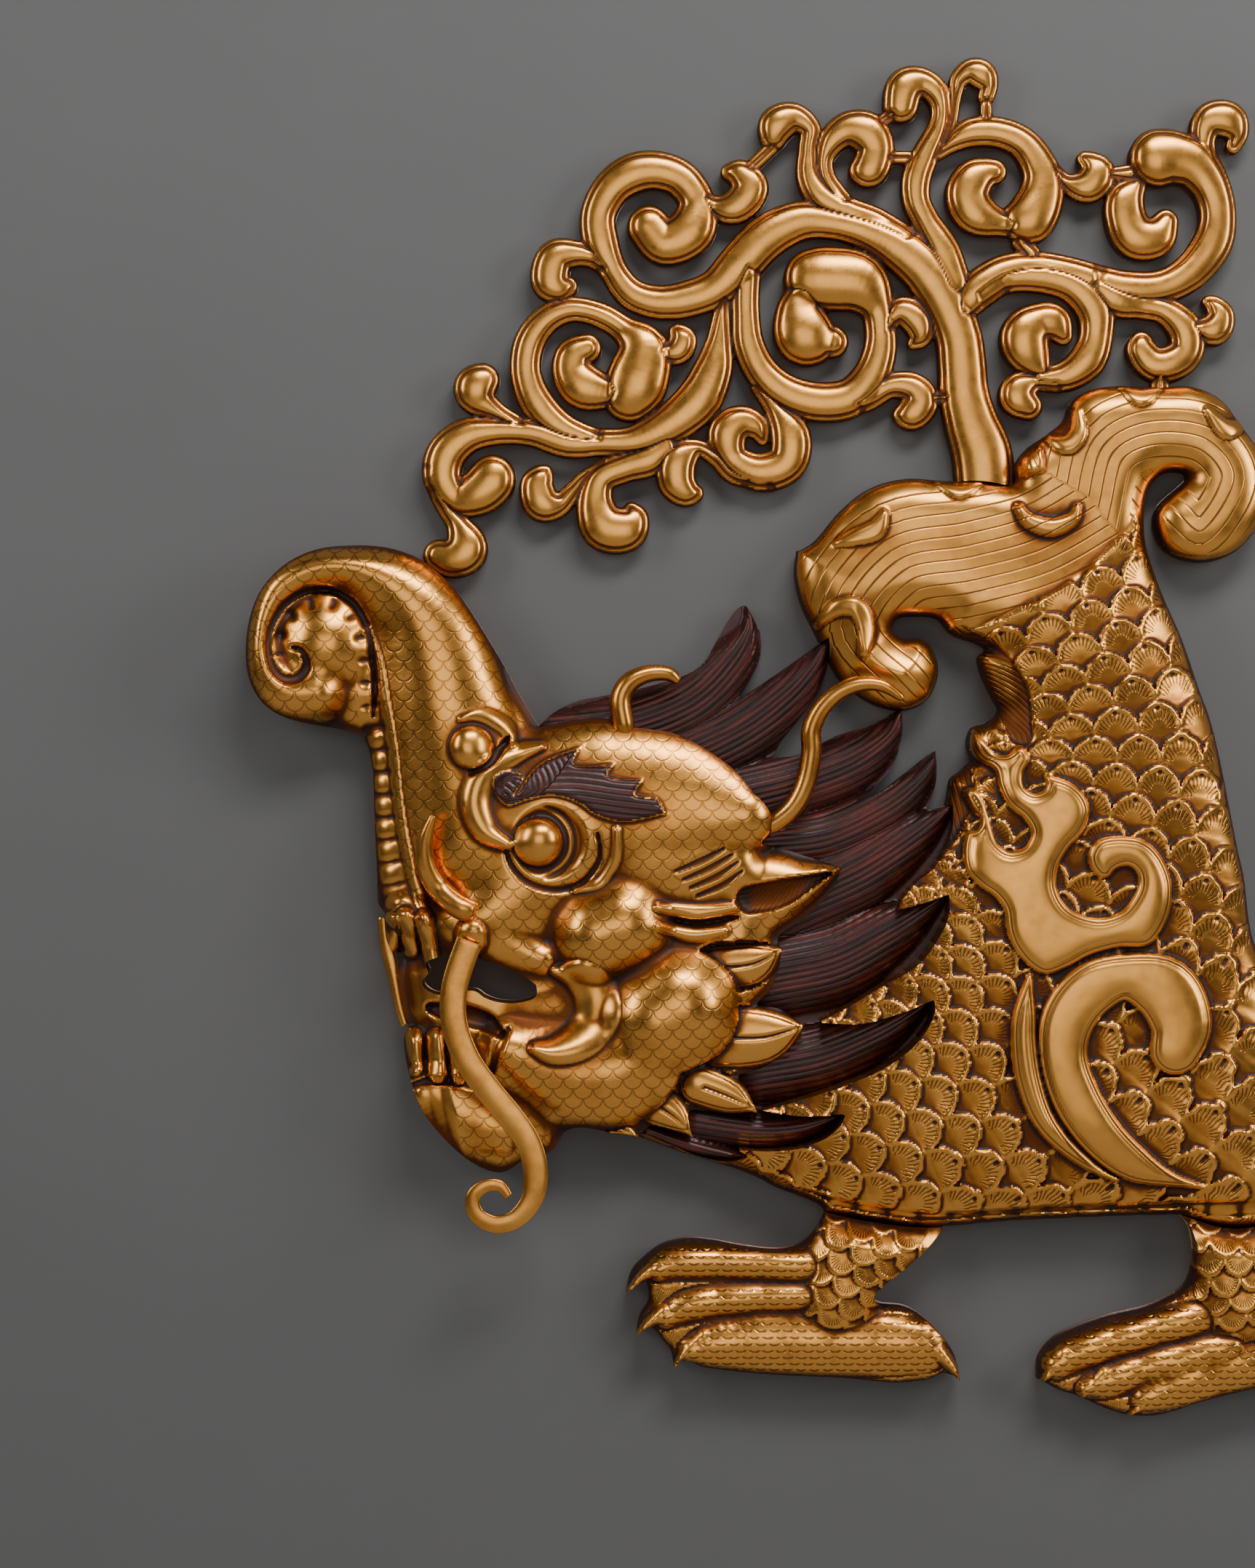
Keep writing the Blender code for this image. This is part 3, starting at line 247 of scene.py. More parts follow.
# %% Outlines and centre lines
# Scroll crest: each branch is a centre line of (x, y, radius)
CREST = {
 "main": [(1356,655,42),(1352,620,42),(1338,580,38),(1328,540,35),(1325,500,34),(1320,460,33),(1303,415,33),
          (1275,370,34),(1235,335,32),(1190,313,26),(1145,302,24),(1100,300,28),(1055,322,31),(1018,360,31),
          (985,392,27),(945,408,26),(905,412,24),(868,400,22),(843,368,20),(826,330,25),(822,292,25),(840,255,26),
          (870,234,28),(905,230,27),(938,243,26),(958,275,26),(950,312,34),(915,330,32),(892,308,30)],
 "low_stem": [(998,395,7),(992,430,12),(988,470,19),(980,508,28),(958,550,32),(915,585,28),(870,604,22),
          (825,606,20),(780,606,22),(730,592,20),(682,590,20),(640,597,25),(612,622,28),(607,656,27),(628,684,24),
          (655,676,32),(672,662,34),(676,655,32)],
 "foot": [(590,640,10),(598,672,12),(612,698,13),(630,722,18),(640,752,30),(622,766,28),(602,762,22)],
 "bud_a": [(768,602,5),(737,592,9),(707,578,12),(680,563,15),(655,545,24),(652,530,30),(662,520,24)],
 "ring_b": [(830,606,16),(775,588,22),(738,552,24),(722,510,22),(727,468,22),(750,436,20),(785,422,18),
          (825,430,18),(860,452,20),(885,480,36),(876,520,44),(865,540,38)],
 "bulb_b": [(842,538,20),(805,530,32),(787,510,29),(788,487,26),(806,476,21)],
 "bud_b": [(868,448,5),(885,465,11),(905,480,14),(930,480,20),(939,465,20),(932,454,13)],
 "bud_c": [(860,394,4),(838,372,9),(812,350,15),(785,345,20),(762,352,26),(755,380,27),(766,392,22),(780,390,14)],
 "bud_d": [(930,225,5),(955,250,9),(980,278,15),(1010,281,24),(1032,256,26),(1020,236,21),(1003,232,12)],
 "link_d": [(1030,228,10),(1062,198,10)],
 "twig_a": [(1064,184,19),(1070,166,26),(1092,157,21),(1114,172,16),(1112,200,14),(1113,237,18),(1132,268,22),
          (1168,286,20),(1205,300,20),(1245,325,20)],
 "twig_b": [(1160,272,14),(1138,242,14),(1134,215,14),(1146,188,20),(1168,173,25),(1193,178,30),(1205,200,27),
          (1198,226,27),(1190,230,22)],
 "link_b": [(1225,212,9),(1250,212,9)],
 "twig_c": [(1240,140,25),(1246,116,27),(1266,108,22),(1287,120,19),(1296,145,15),(1292,172,16),(1276,205,19),
          (1262,240,21),(1262,272,20),(1276,302,20),(1298,340,24),(1312,385,26)],
 "link_c": [(1232,150,10),(1214,162,10)],
 "twig_d": [(1358,128,12),(1361,112,14),(1351,97,21),(1335,93,17),(1320,106,13),(1315,130,9),(1310,160,9),
          (1300,190,9)],
 "link_e": [(1358,132,8),(1358,160,9)],
 "ring_e": [(1288,212,7),(1310,192,14),(1340,177,21),(1378,178,22),(1412,195,23),(1434,232,27),(1434,265,32),
          (1420,295,36),(1407,300,30)],
 "bulb_e": [(1400,306,18),(1375,302,20),(1345,290,30),(1332,265,31),(1340,244,29),(1356,234,22),(1369,232,18)],
 "bud_e": [(1438,205,4),(1452,228,9),(1470,248,14),(1498,252,24),(1512,235,25),(1505,222,18),(1494,214,11)],
 "link_f": [(1405,330,12),(1420,345,14)],
 "ring_f": [(1322,430,18),(1342,400,27),(1380,374,27),(1425,364,23),(1470,370,22),(1510,383,24),(1550,394,26),
          (1600,391,24),(1640,370,26),(1670,332,28),(1678,292,26),(1668,252,28),(1645,222,34),(1615,212,38),
          (1596,213,41)],
 "bulb_f": [(1566,250,14),(1550,272,27),(1552,300,30),(1566,322,32),(1592,322,28),(1606,301,18)],
 "bud_f": [(1692,262,5),(1680,235,9),(1664,206,13),(1658,182,19),(1668,160,24),(1692,160,26),(1705,178,16),
          (1700,196,11)],
 "link_g": [(1530,235,10),(1556,235,14)],
 "ring_g": [(1345,400,24),(1380,378,24),(1430,374,26),(1478,388,26),(1507,420,27),(1510,458,24),(1498,492,26),
          (1468,514,22),(1432,518,16)],
 "bulb_g": [(1432,506,16),(1414,478,32),(1412,456,34),(1430,441,28),(1450,440,26),(1464,458,14)],
 "bud_g": [(1455,524,14),(1425,522,15),(1404,532,24),(1402,545,26),(1416,556,20)],
 "twig_g": [(1510,383,24),(1536,405,28),(1572,416,20),(1605,424,20),(1632,448,25),(1635,478,25),(1615,496,26),
          (1590,498,25),(1573,480,22),(1572,470,18)],
 "bud_h": [(1625,428,7),(1645,446,12),(1672,450,23),(1682,432,20),(1674,417,14),(1664,411,8)],
 "link_h": [(1598,515,12),(1598,534,14)],
 "ring_k": [(1030,350,20),(1026,395,20),(1026,430,20),(1030,470,22),(1048,508,24),(1080,536,26),(1125,550,28),
          (1168,545,28),(1196,518,26),(1210,485,24),(1212,450,22),(1205,415,26),(1180,385,42),(1140,380,45),
          (1120,380,42)],
 "bulb_k": [(1105,405,26),(1100,430,34),(1108,458,42),(1128,464,28),(1145,467,23)],
 "bud_k": [(1215,480,12),(1222,445,13),(1240,424,20),(1262,437,23),(1268,458,17),(1257,470,8)],
 "bud_l": [(1150,558,12),(1190,549,16),(1225,528,18),(1255,530,22),(1268,548,25),(1256,566,24),(1240,568,12)],
 "link_l": [(1285,545,10),(1305,545,10)],
 "ring_m": [(1040,530,8),(1068,562,16),(1088,598,28),(1082,634,28),(1045,647,27),(1009,628,22),(1000,596,28),
          (1018,578,24),(1040,584,18),(1049,602,9)],
 "bud_m": [(1060,662,12),(1010,652,12),(985,628,12),(958,614,13),(932,632,27),(930,658,27),
          (942,674,21),(955,676,13)],
 "bud_n": [(830,634,6),(805,652,9),(786,674,13),(768,692,17),(745,690,26),(737,668,24),(742,656,19),(750,646,9)],
 "bud_o": [(915,612,20),(892,630,24),(860,640,22),(826,656,22),(818,690,26),(830,722,33),(858,727,31),
          (872,712,20),(868,700,12)],
}


HEAD = [(741,1000),(741,1000),(715,958),(688,908),(664,868),(645,838),(626,811),(603,789),(578,770),(545,757),
 (515,752),(480,751),(440,757),(400,776),(368,808),(349,846),(342,888),(345,928),(358,958),(378,978),(404,990),
 (436,997),(470,1003),(500,1012),(500,1012),(509,1035),(514,1065),(515,1100),(517,1150),(519,1206),(520,1240),
 (530,1254),(530,1254),(532,1290),(545,1308),(556,1312),(549,1335),(550,1360),(556,1390),(563,1412),(563,1412),
 (556,1425),(557,1448),(564,1475),(564,1475),(572,1500),(585,1527),(606,1555),(635,1584),(665,1605),(690,1611),
 (712,1598),(722,1587),(722,1587),(757,1583),(775,1557),(800,1548),(840,1556),(878,1563),(878,1563),(895,1547),
 (925,1553),(952,1562),(952,1562),(947,1545),
 (950,1526),(1000,1530),(1040,1528),(1040,1528),(1028,1500),(1015,1479),
 (1050,1466),(1085,1441),(1104,1410),(1104,1410),(1070,1387),(1040,1382),(1058,1360),(1070,1330),(1073,1303),
 (1073,1303),(1070,1287),(1100,1265),(1125,1244),(1145,1220),(1156,1192),(1156,1192),(1110,1178),(1080,1168),
 (1045,1160),(1060,1140),(1056,1115),(1033,1088),(1006,1057),(968,1030),(930,1010),(891,1003),(860,999),(832,988),
 (787,991),(760,996)]
MOUTH_GAP = [(587,1322),(606,1313),(640,1303),(660,1315),(700,1330),(722,1341),(738,1352),
 (738,1352),(737,1369),(712,1377),(687,1376),(668,1370),(650,1360),(612,1366),(592,1362),(581,1350),(590,1336)]

MANE = [(700,1030),(738,1000),(764,977),(795,963),(830,956),(880,946),(937,930),(966,912),(985,882),(1000,855),
 (1014,836),(1025,831),(1025,831),(1038,853),(1048,877),(1045,905),(1034,930),(1014,962),(1014,962),(1045,942),
 (1080,918),(1110,897),(1139,876),(1139,876),(1140,905),(1129,945),(1102,985),(1078,1015),(1062,1042),(1062,1042),
 (1102,1037),(1150,1012),(1200,995),(1240,974),(1240,974),(1241,1010),(1230,1052),(1206,1080),(1172,1108),
 (1172,1108),(1210,1090),(1250,1060),(1286,1032),(1286,1032),(1290,1062),(1285,1092),(1275,1116),(1275,1116),
 (1310,1106),(1310,1106),(1308,1140),(1297,1168),(1280,1194),(1258,1212),(1240,1232),(1232,1250),(1232,1250),
 (1265,1241),(1301,1228),(1301,1228),(1298,1262),(1280,1297),(1255,1327),(1203,1358),(1165,1382),(1123,1404),
 (1123,1404),(1180,1405),(1232,1391),(1280,1371),(1280,1371),(1279,1392),(1266,1418),(1237,1448),(1187,1477),
 (1110,1506),(1046,1525),(1046,1525),(1100,1531),(1160,1527),(1160,1527),(1150,1545),(1130,1562),(1095,1575),
 (1050,1580),(1012,1578),(1012,1578),(1030,1587),(1030,1587),(1000,1597),(960,1590),(930,1577),(895,1562),
 (860,1545),(860,1500),(900,1200),(760,1060)]

BODY = [(1393,665),(1350,661),(1300,660),(1245,657),(1195,671),(1155,702),(1121,742),(1096,758),(1096,758),
 (1093,790),(1102,830),(1120,868),(1138,905),(1158,938),(1200,968),(1245,977),(1277,960),(1291,925),(1284,893),
 (1266,878),(1244,878),(1228,866),(1236,850),(1262,847),(1290,851),(1310,872),(1342,884),(1358,893),(1358,893),
 (1346,904),(1352,930),(1366,960),(1374,978),(1356,994),(1338,1000),(1331,1022),(1337,1046),(1337,1046),
 (1322,1060),(1308,1072),(1303,1100),(1285,1150),(1215,1200),(1190,1260),(1150,1340),(1090,1400),(1060,1480),
 (1010,1530),(940,1545),(860,1540),(810,1548),(876,1564),(938,1586),(1024,1613),(1069,1635),(1119,1654),
 (1136,1668),(1136,1668),(1210,1682),(1280,1689),(1380,1681),(1460,1677),(1560,1673),(1625,1672),(1625,1672),
 (1700,1690),(1775,1668),(1792,1610),(1794,1540),(1784,1470),(1764,1400),(1742,1340),(1722,1280),(1713,1209),
 (1704,1168),(1692,1107),(1680,1046),(1666,989),(1651,948),(1627,878),(1602,821),(1585,775),(1576,740),
 (1575,700),(1583,668),(1602,650),(1624,648),
 (1634,656),(1620,670),(1598,690),(1589,712),(1596,744),(1617,765),(1655,772),(1695,761),(1726,731),(1743,690),
 (1743,648),(1729,612),(1706,580),(1680,547),(1640,530),(1590,531),(1540,529),(1500,535),(1474,552),(1464,576),
 (1438,598),(1412,616),(1396,640)]

FRONT_LEG = [(1136,1668),(1136,1668),(1124,1692),(1104,1712),(1070,1721),(1019,1716),(983,1709),(947,1706),
 (912,1714),(886,1732),(868,1752),(861,1776),(861,1776),
 (886,1762),(892,1790),(880,1812),(874,1834),(874,1834),(896,1828),
 (914,1848),(922,1858),(926,1878),(926,1878),(945,1870),(965,1880),(1000,1886),(1060,1892),(1161,1897),(1230,1903),
 (1275,1899),(1297,1890),(1318,1896),(1318,1896),(1314,1868),(1300,1845),(1272,1816),(1244,1800),(1208,1795),
 (1201,1780),(1218,1762),(1250,1737),(1284,1706),(1302,1684),(1302,1684),(1210,1682)]

HIND_LEG = [(1625,1672),(1625,1672),(1638,1689),(1644,1718),(1642,1748),(1632,1772),(1606,1789),(1575,1802),
 (1529,1813),(1483,1829),(1450,1846),(1430,1872),(1428,1897),(1428,1897),(1455,1912),(1485,1922),(1518,1937),
 (1545,1946),(1577,1949),(1610,1944),(1640,1930),(1690,1918),(1740,1905),(1790,1902),
 (1830,1905),(1852,1900),(1860,1903),(1860,1903),(1856,1876),(1838,1846),(1812,1822),(1780,1808),(1752,1795),
 (1744,1775),(1752,1745),(1768,1710),(1778,1668),(1778,1668),(1700,1690)]

HORN_NEAR = [(1041,1138,12),(1064,1130,13),(1090,1107,14),(1106,1073,14),(1113,1034,14),(1113,1004,14),
 (1125,977,13),(1148,954,12),(1178,942,11),(1209,944,9),(1236,962,7)]
HORN_FAR = [(862,1014,14),(856,990,15),(853,962,15),(865,939,14),(891,927,12),(918,927,10),(933,938,8)]
TUSK = [(600,1120,7),(588,1155,11),(590,1189,14),(606,1219,16),(634,1244,17),(656,1250,16)]
WHISKER_NEAR = [(649,1290,18),(629,1350,18),(628,1400,18),(645,1449,18),(673,1490,18),(704,1528,18),(728,1562,17),
 (738,1600,17),(734,1638,15),(712,1666,13),
 (683,1674,12),(658,1660,11),(654,1636,10),(670,1622,9),(690,1622,8),(702,1636,6)]
WHISKER_FAR = [(524,1262,7),(529,1300,9),(539,1345,8),(547,1385,7),(555,1412,6)]

# Swellings of the head: centre lines of (x, y, radius), and balls of (x, y, radius)
TRUNK = [(648,1150,96),(632,1060,98),(612,980,92),(598,905,86),(575,845,70),(532,802,52),(480,783,34),(428,788,34),
         (386,816,34),(366,868,28),(370,920,36),(396,950,48),(436,952,48)]
TRUNK_BALL = (446, 886, 76)
THROAT = [(522,1015,20),(529,1080,23),(534,1150,25),(546,1215,26),(560,1250,22)]
CRANIUM = [(760,1125,130),(840,1120,140),(915,1120,130),(975,1120,96),(1020,1122,60)]
TEMPLE = [(900,1200,70),(960,1195,60),(1010,1190,44)]
FACE = [(735,1150,120),(700,1230,92),(662,1262,62)]
UPPER_CHEEK = [(822,1282,74),(856,1270,76)]
LOWER_CHEEK = [(905,1400,84),(932,1384,88)]
JAW = [(700,1440,50),(760,1468,74),(830,1476,82),(870,1460,70)]
CHIN = [(600,1500,50),(640,1535,66),(690,1550,62)]
UPPER_LIP = [(556,1250,30),(612,1272,36),(690,1298,38),(745,1316,30)]
TONGUE = [(676,1386,8),(704,1388,14),(740,1384,18),(780,1378,20)]
TRUNK_CURL = [(515,985,2),(518,940,5),(514,898,5),(505,860,5),(485,829,5),(452,813,5),(419,817,5),(392,838,5),
              (376,870,5),(375,903,6),(388,930,7),(411,936,8),(426,918,7),(421,898,5),(408,892,3)]
TRUNK_EDGE = [(507,868,7),(521,905,8),(531,960,8),(542,1030,8),(549,1100,8),(560,1165,8),(577,1225,9),(592,1262,8)]
EYE_SOCKET = (757, 1157, 54)
MOUTH_FLOOR = [(575,1345,26),(600,1392,26),(640,1400,26),(680,1402,22),(720,1392,26),(770,1378,26)]
EAR = [(975,1215,50),(1040,1218,52),(1095,1214,34),(1135,1200,14),(1154,1193,3)]
EAR_HOLLOW = [(1030,1236,20),(1070,1228,20),(1115,1210,9),(1140,1200,3)]
FRILL = [
    [(985,1330,34),(1030,1325,32),(1060,1312,14),(1072,1304,3)],
    [(990,1425,46),(1045,1425,40),(1085,1415,18),(1102,1410,3)],
    [(960,1490,30),(1000,1505,26),(1030,1520,9),(1039,1527,3)],
    [(890,1510,34),(925,1532,24),(946,1553,7),(951,1561,3)],
    [(810,1535,22),(845,1545,16),(870,1557,5),(877,1562,2)],
]
NOSTRIL = (651, 1028, 30)
EYE = (741, 1157, 34)
HEAD_RIDGES = [
    ([(700,1160,10),(668,1140,18),(656,1100,22),(674,1062,20),(712,1036,16),(745,1026,8)], 0.006),
    ([(636,990,4),(664,984,11),(696,1000,12),(708,1024,6)], 0.003),
    ([(848,1140,6),(846,1180,8),(826,1212,8),(792,1222,6)], 0.003),
    ([(764,1334,8),(796,1340,24),(818,1364,32),(820,1398,32),(798,1426,28),(764,1440,20),(736,1436,9)], 0.007),
    ([(905,1245,8),(955,1254,13),(1010,1246,8)], 0.005),
    ([(905,1272,7),(950,1284,12),(995,1278,8)], 0.004),
]
TEETH = [
    [(540,1264,12),(540,1302,11)],
    [(560,1258,13),(566,1306,12)],
    [(586,1262,14),(596,1316,13)],
    [(570,1424,14),(572,1464,14)],
    [(600,1424,14),(604,1472,15)],
    [(628,1436,12),(634,1476,13)],
]
EYEBROW = [(704,1058),(722,1068),(716,1084),(712,1090),(742,1050),(799,1027),(799,1027),(792,1052),(846,1050),
           (846,1050),(838,1068),(885,1072),(885,1072),(874,1092),(903,1098),(914,1119),(914,1119),(860,1130),
           (820,1121),(795,1104),(760,1094),(725,1101),(700,1108),(682,1092),(682,1068)]
THROAT_RIBS = [(386,905),(390,872),(406,846),(432,832),(460,832),(486,848),(498,876),(505,912),(508,955),
               (516,1000),(525,1070),(530,1140),(539,1200),(548,1245)]
RIB_PITCH = 31

# Locks of the mane, root to tip
LOCKS = [
    [(760,1010,30),(860,1000,46),(950,965,46),(1005,912,34),(1030,866,13),(1027,834,2)],
    [(900,1060,50),(1010,1010,48),(1082,958,36),(1122,912,16),(1138,878,2)],
    [(1000,1100,46),(1090,1078,44),(1168,1050,40),(1222,1012,20),(1239,976,2)],
    [(1060,1160,40),(1140,1150,40),(1225,1108,34),(1272,1066,16),(1286,1034,2)],
    [(1090,1240,56),(1180,1200,52),(1250,1155,34),(1290,1124,14),(1309,1107,2)],
    [(1070,1340,60),(1150,1322,58),(1228,1280,38),(1280,1246,14),(1300,1229,2)],
    [(1050,1470,50),(1130,1455,46),(1208,1422,32),(1260,1390,13),(1279,1372,2)],
    [(960,1545,30),(1040,1556,26),(1100,1552,21),(1142,1538,9),(1159,1528,2)],
    [(890,1555,12),(950,1576,14),(1005,1588,8),(1029,1588,2)],
]

# Body: flow of the scales from the neck to the tail, and the smooth bands over them
BODY_LINE = [(860,1545),(960,1552),(1080,1546),(1200,1510),(1310,1450),(1400,1370),(1470,1270),(1512,1150),
             (1528,1040),(1518,940),(1492,850),(1462,760)]
FIN_FOLD = [(1398,700,8),(1412,718,12),(1442,727,14),(1470,716,11),(1478,698,6)]
WING = [(1337,1003),(1331,1026),(1342,1046),(1362,1059),(1368,1082),(1379,1107),(1400,1126),(1409,1145),(1401,1162),
 (1382,1168),(1366,1156),(1357,1129),(1349,1101),(1336,1084),(1322,1089),(1330,1110),(1342,1126),(1338,1139),
 (1324,1144),(1319,1172),(1324,1200),(1342,1219),(1360,1232),(1372,1250),(1376,1278),(1386,1302),(1405,1325),
 (1430,1338),(1460,1328),(1492,1311),(1530,1301),(1572,1297),(1598,1258),(1603,1215),(1590,1178),(1565,1153),
 (1530,1147),(1500,1153),(1487,1172),(1489,1190),(1501,1205),(1516,1206),(1526,1195),(1542,1191),(1553,1202),
 (1552,1222),(1535,1247),(1510,1258),(1485,1256),(1460,1243),(1447,1218),(1449,1190),(1463,1165),(1481,1145),
 (1491,1120),(1487,1098),(1470,1078),(1447,1068),(1430,1065),(1429,1082),(1415,1089),(1403,1080),(1402,1063),
 (1410,1045),(1404,1030),(1394,1026),(1380,1037),(1363,1034),(1350,1018)]
SPIRAL_BANDS = [
    [(1650,1628,3),(1600,1616,12),(1550,1594,26),(1506,1556,32),(1472,1505,35),(1454,1450,35),(1460,1398,38),
     (1492,1357,38),(1540,1340,33),(1592,1358,46),(1614,1402,44),(1606,1438,36)],
    [(1408,1340,6),(1401,1390,17),(1400,1430,19),(1407,1480,19),(1425,1530,17),(1455,1568,13),(1495,1600,8),
     (1530,1618,3)],
]

# Legs: swellings of the leg, toes and claws
FRONT_LEG_PARTS = (
    [[(1215,1675,88),(1175,1735,70),(1152,1785,56)]],
    [
        [(1110,1742,28),(1010,1736,27),(935,1736,27),(905,1745,20)],
        [(1110,1782,24),(1010,1786,26),(945,1796,26),(915,1812,18)],
        [(1270,1850,40),(1180,1850,47),(1060,1846,47),(985,1850,36),(950,1856,22)],
    ],
    [
        [(912,1738,14),(886,1752,9),(862,1775,2)],
        [(914,1802,13),(892,1818,8),(875,1833,2)],
        [(968,1836,14),(942,1857,8),(927,1877,2)],
        [(1288,1856,14),(1308,1878,8),(1317,1895,2)],
    ],
)
HIND_LEG_PARTS = (
    [[(1702,1680,84),(1698,1745,60),(1706,1790,64)]],
    [
        [(1650,1812,28),(1560,1836,28),(1485,1860,28),(1452,1876,24)],
        [(1690,1848,26),(1590,1877,28),(1520,1900,26),(1490,1908,16)],
        [(1790,1862,44),(1690,1880,42),(1620,1904,38),(1575,1922,26)],
    ],
    [
        [(1462,1862,15),(1446,1882,10),(1433,1897,3)],
        [(1518,1888,14),(1500,1904,9),(1487,1920,2)],
        [(1588,1914,15),(1570,1930,9),(1552,1944,2)],
        [(1826,1862,14),(1846,1884,8),(1858,1902,2)],
    ],
)

# More of the head: the whisker's seat, the sweep of the eyebrow's hair, and furrows with their depth
WHISKER_SEAT = [(650,1282,22),(650,1292,22)]
BROW_SWEEP = [(700,1086),(716,1096),(732,1086),(728,1068),(708,1062),(690,1074),(690,1100),(730,1104),(790,1104),
              (850,1112),(914,1119)]
HEAD_FURROWS = [
    ([(992,1166,2),(962,1182,5),(928,1196,3)], 0.0022),
    ([(1004,1174,2),(974,1192,5),(938,1208,3)], 0.0022),
    ([(1012,1184,2),(984,1203,5),(948,1219,3)], 0.0022),
    ([(1018,1196,2),(994,1214,5),(958,1230,3)], 0.0022),
    ([(920,1262,3),(960,1268,6),(1012,1260,3)], 0.0035),
    ([(594,1384,8),(630,1392,15),(668,1402,13),(690,1418,7)], 0.007),
    ([(700,1412,4),(686,1436,9),(678,1470,4)], 0.004),
    ([(698,1168,3),(706,1190,5),(728,1212,6),(765,1222,6),(800,1212,5),(824,1180,4),(822,1146,3)], 0.003),
    ([(700,1014,3),(690,1030,6),(676,1050,6),(650,1064,4)], 0.004),
    ([(560,1492,3),(600,1482,7),(650,1486,7),(690,1500,4)], 0.004),
]

# More of the body: blades and hooks of the fins, tufts beside the wing, and the line of the belly's plates
FIN_BLADE = [(1500,690,62),(1420,735,80),(1330,760,100),(1235,780,124),(1180,860,112),(1240,930,80)]
TAIL_BLADE = [(1500,690,62),(1520,620,84),(1580,590,84),(1660,600,84),(1700,660,74),(1650,740,50),(1600,700,40)]
FIN_HOOKS = [
    [(1290,664,6),(1318,676,12),(1346,664,6)],
    [(1148,748,5),(1175,740,12),(1202,730,14),(1214,708,7)],
    [(1122,862,5),(1148,838,12),(1176,838,14),(1190,866,14),(1184,900,8)],
    [(1438,600,5),(1463,614,13),(1480,597,12),(1478,566,6)],
    [(1543,532,6),(1566,548,13),(1592,534,6)],
    [(1656,566,6),(1682,592,14),(1706,584,8)],
]
FRINGE = [
    [(1320,880,22),(1362,915,26),(1388,960,26),(1400,1010,18)],
    [(1322,1066,16),(1318,1100,18),(1306,1140,14),(1290,1170,8)],
]
BELLY = [(880,1572),(1000,1612),(1136,1654),(1280,1676),(1440,1668),(1640,1662),(1760,1656)]

# %% [markdown]
# ## Raising a sheet
#
# Each sheet starts as a flat grid primitive over its part of the drawing. Faces outside the outline are
# deleted, the rim is pulled onto the outline, and every point is raised to the carving's height there. The
# rim then goes straight back to the wall plane, as the turned edge of a real sheet does. Each point also
# stores a few measures as attributes: how deep it lies in a crease, how far it is from a chased edge, and
# which pattern is punched there. The materials read them, so patina and fine lines follow the carving.

# %% Grid helpers
def smoothed(grid, radius):
    """Box blur of a grid of numbers in both directions."""
    size = 2 * radius + 1
    for axis in (0, 1):
        pad = [(0, 0), (0, 0)]
        pad[axis] = (radius + 1, radius)
        total = np.cumsum(np.pad(grid, pad, mode="edge"), axis=axis)
        steps = total.shape[axis]
        ahead = np.take(total, range(size, steps), axis=axis)
        behind = np.take(total, range(steps - size), axis=axis)
        grid = (ahead - behind) / size
    return grid


def blur(grid, mask, radius):
    """Blur of a sheet's heights that leaves out what lies off the sheet."""
    weight = smoothed(mask.astype(float), radius)
    return smoothed(grid * mask, radius) / np.maximum(weight, 1e-6)


def store(mesh, name, values):
    """Writes one number per point as a named attribute."""
    layer = mesh.attributes.new(name, "FLOAT", "POINT")
    layer.data.foreach_set("value", np.asarray(values, np.float32))


def rim_edges(bm):
    return [edge for edge in bm.edges if edge.is_boundary]


def delete_faces(bm, faces):
    bmesh.ops.delete(bm, geom=faces, context="FACES")
    bmesh.ops.delete(bm, geom=[vert for vert in bm.verts if not vert.link_faces], context="VERTS")


def open_pinches(bm):
    """Removes faces where the sheet touches itself at one point only."""
    for _ in range(4):
        rim = {vert for edge in rim_edges(bm) for vert in edge.verts}
        pinched = [vert for vert in rim if sum(edge.is_boundary for edge in vert.link_edges) > 2]
        if not pinched:
            break
        delete_faces(bm, list({face for vert in pinched for face in vert.link_faces}))


def drop_crumbs(bm, least):
    """Removes loose pieces with fewer faces than a real part of the sheet has."""
    left = set(bm.faces)
    crumbs = []
    while left:
        stack = [left.pop()]
        piece = list(stack)
        while stack:
            for edge in stack.pop().edges:
                for face in edge.link_faces:
                    if face in left:
                        left.remove(face)
                        piece.append(face)
                        stack.append(face)
        if len(piece) < least:
            crumbs += piece
    delete_faces(bm, crumbs)


# %% Raise, trim and close a sheet
NEAR_CELLS = 2
WIDE_CELLS = 9
CREASE_NEAR = 0.0006
CREASE_WIDE = 0.0022
LEAST_FACES = 400
BACK_PATINA = 0.3


def snap_rim(bm, inside, cell):
    """Pulls the rim of a flat sheet onto its outline and evens the grid beside it."""
    rim = list({vert for edge in rim_edges(bm) for vert in edge.verts})
    place = np.array([vert.co[:2] for vert in rim])
    for _ in range(3):
        x, y = place[:, 0], place[:, 1]
        here = inside(x, y)
        slope = np.column_stack([inside(x + 0.5, y) - here, inside(x, y + 0.5) - here]) / 0.5
        size = np.clip((slope**2).sum(axis=1), 0.25, None)
        place -= np.clip(here / size, -cell, cell)[:, None] * slope
    for vert, (x, y) in zip(rim, place):
        vert.co.x, vert.co.y = x, y
    beside = {other for vert in rim for face in vert.link_faces for other in face.verts} - set(rim)
    for _ in range(2):
        bmesh.ops.smooth_vert(bm, verts=list(beside), factor=0.5, use_axis_x=True, use_axis_y=True)
    return rim


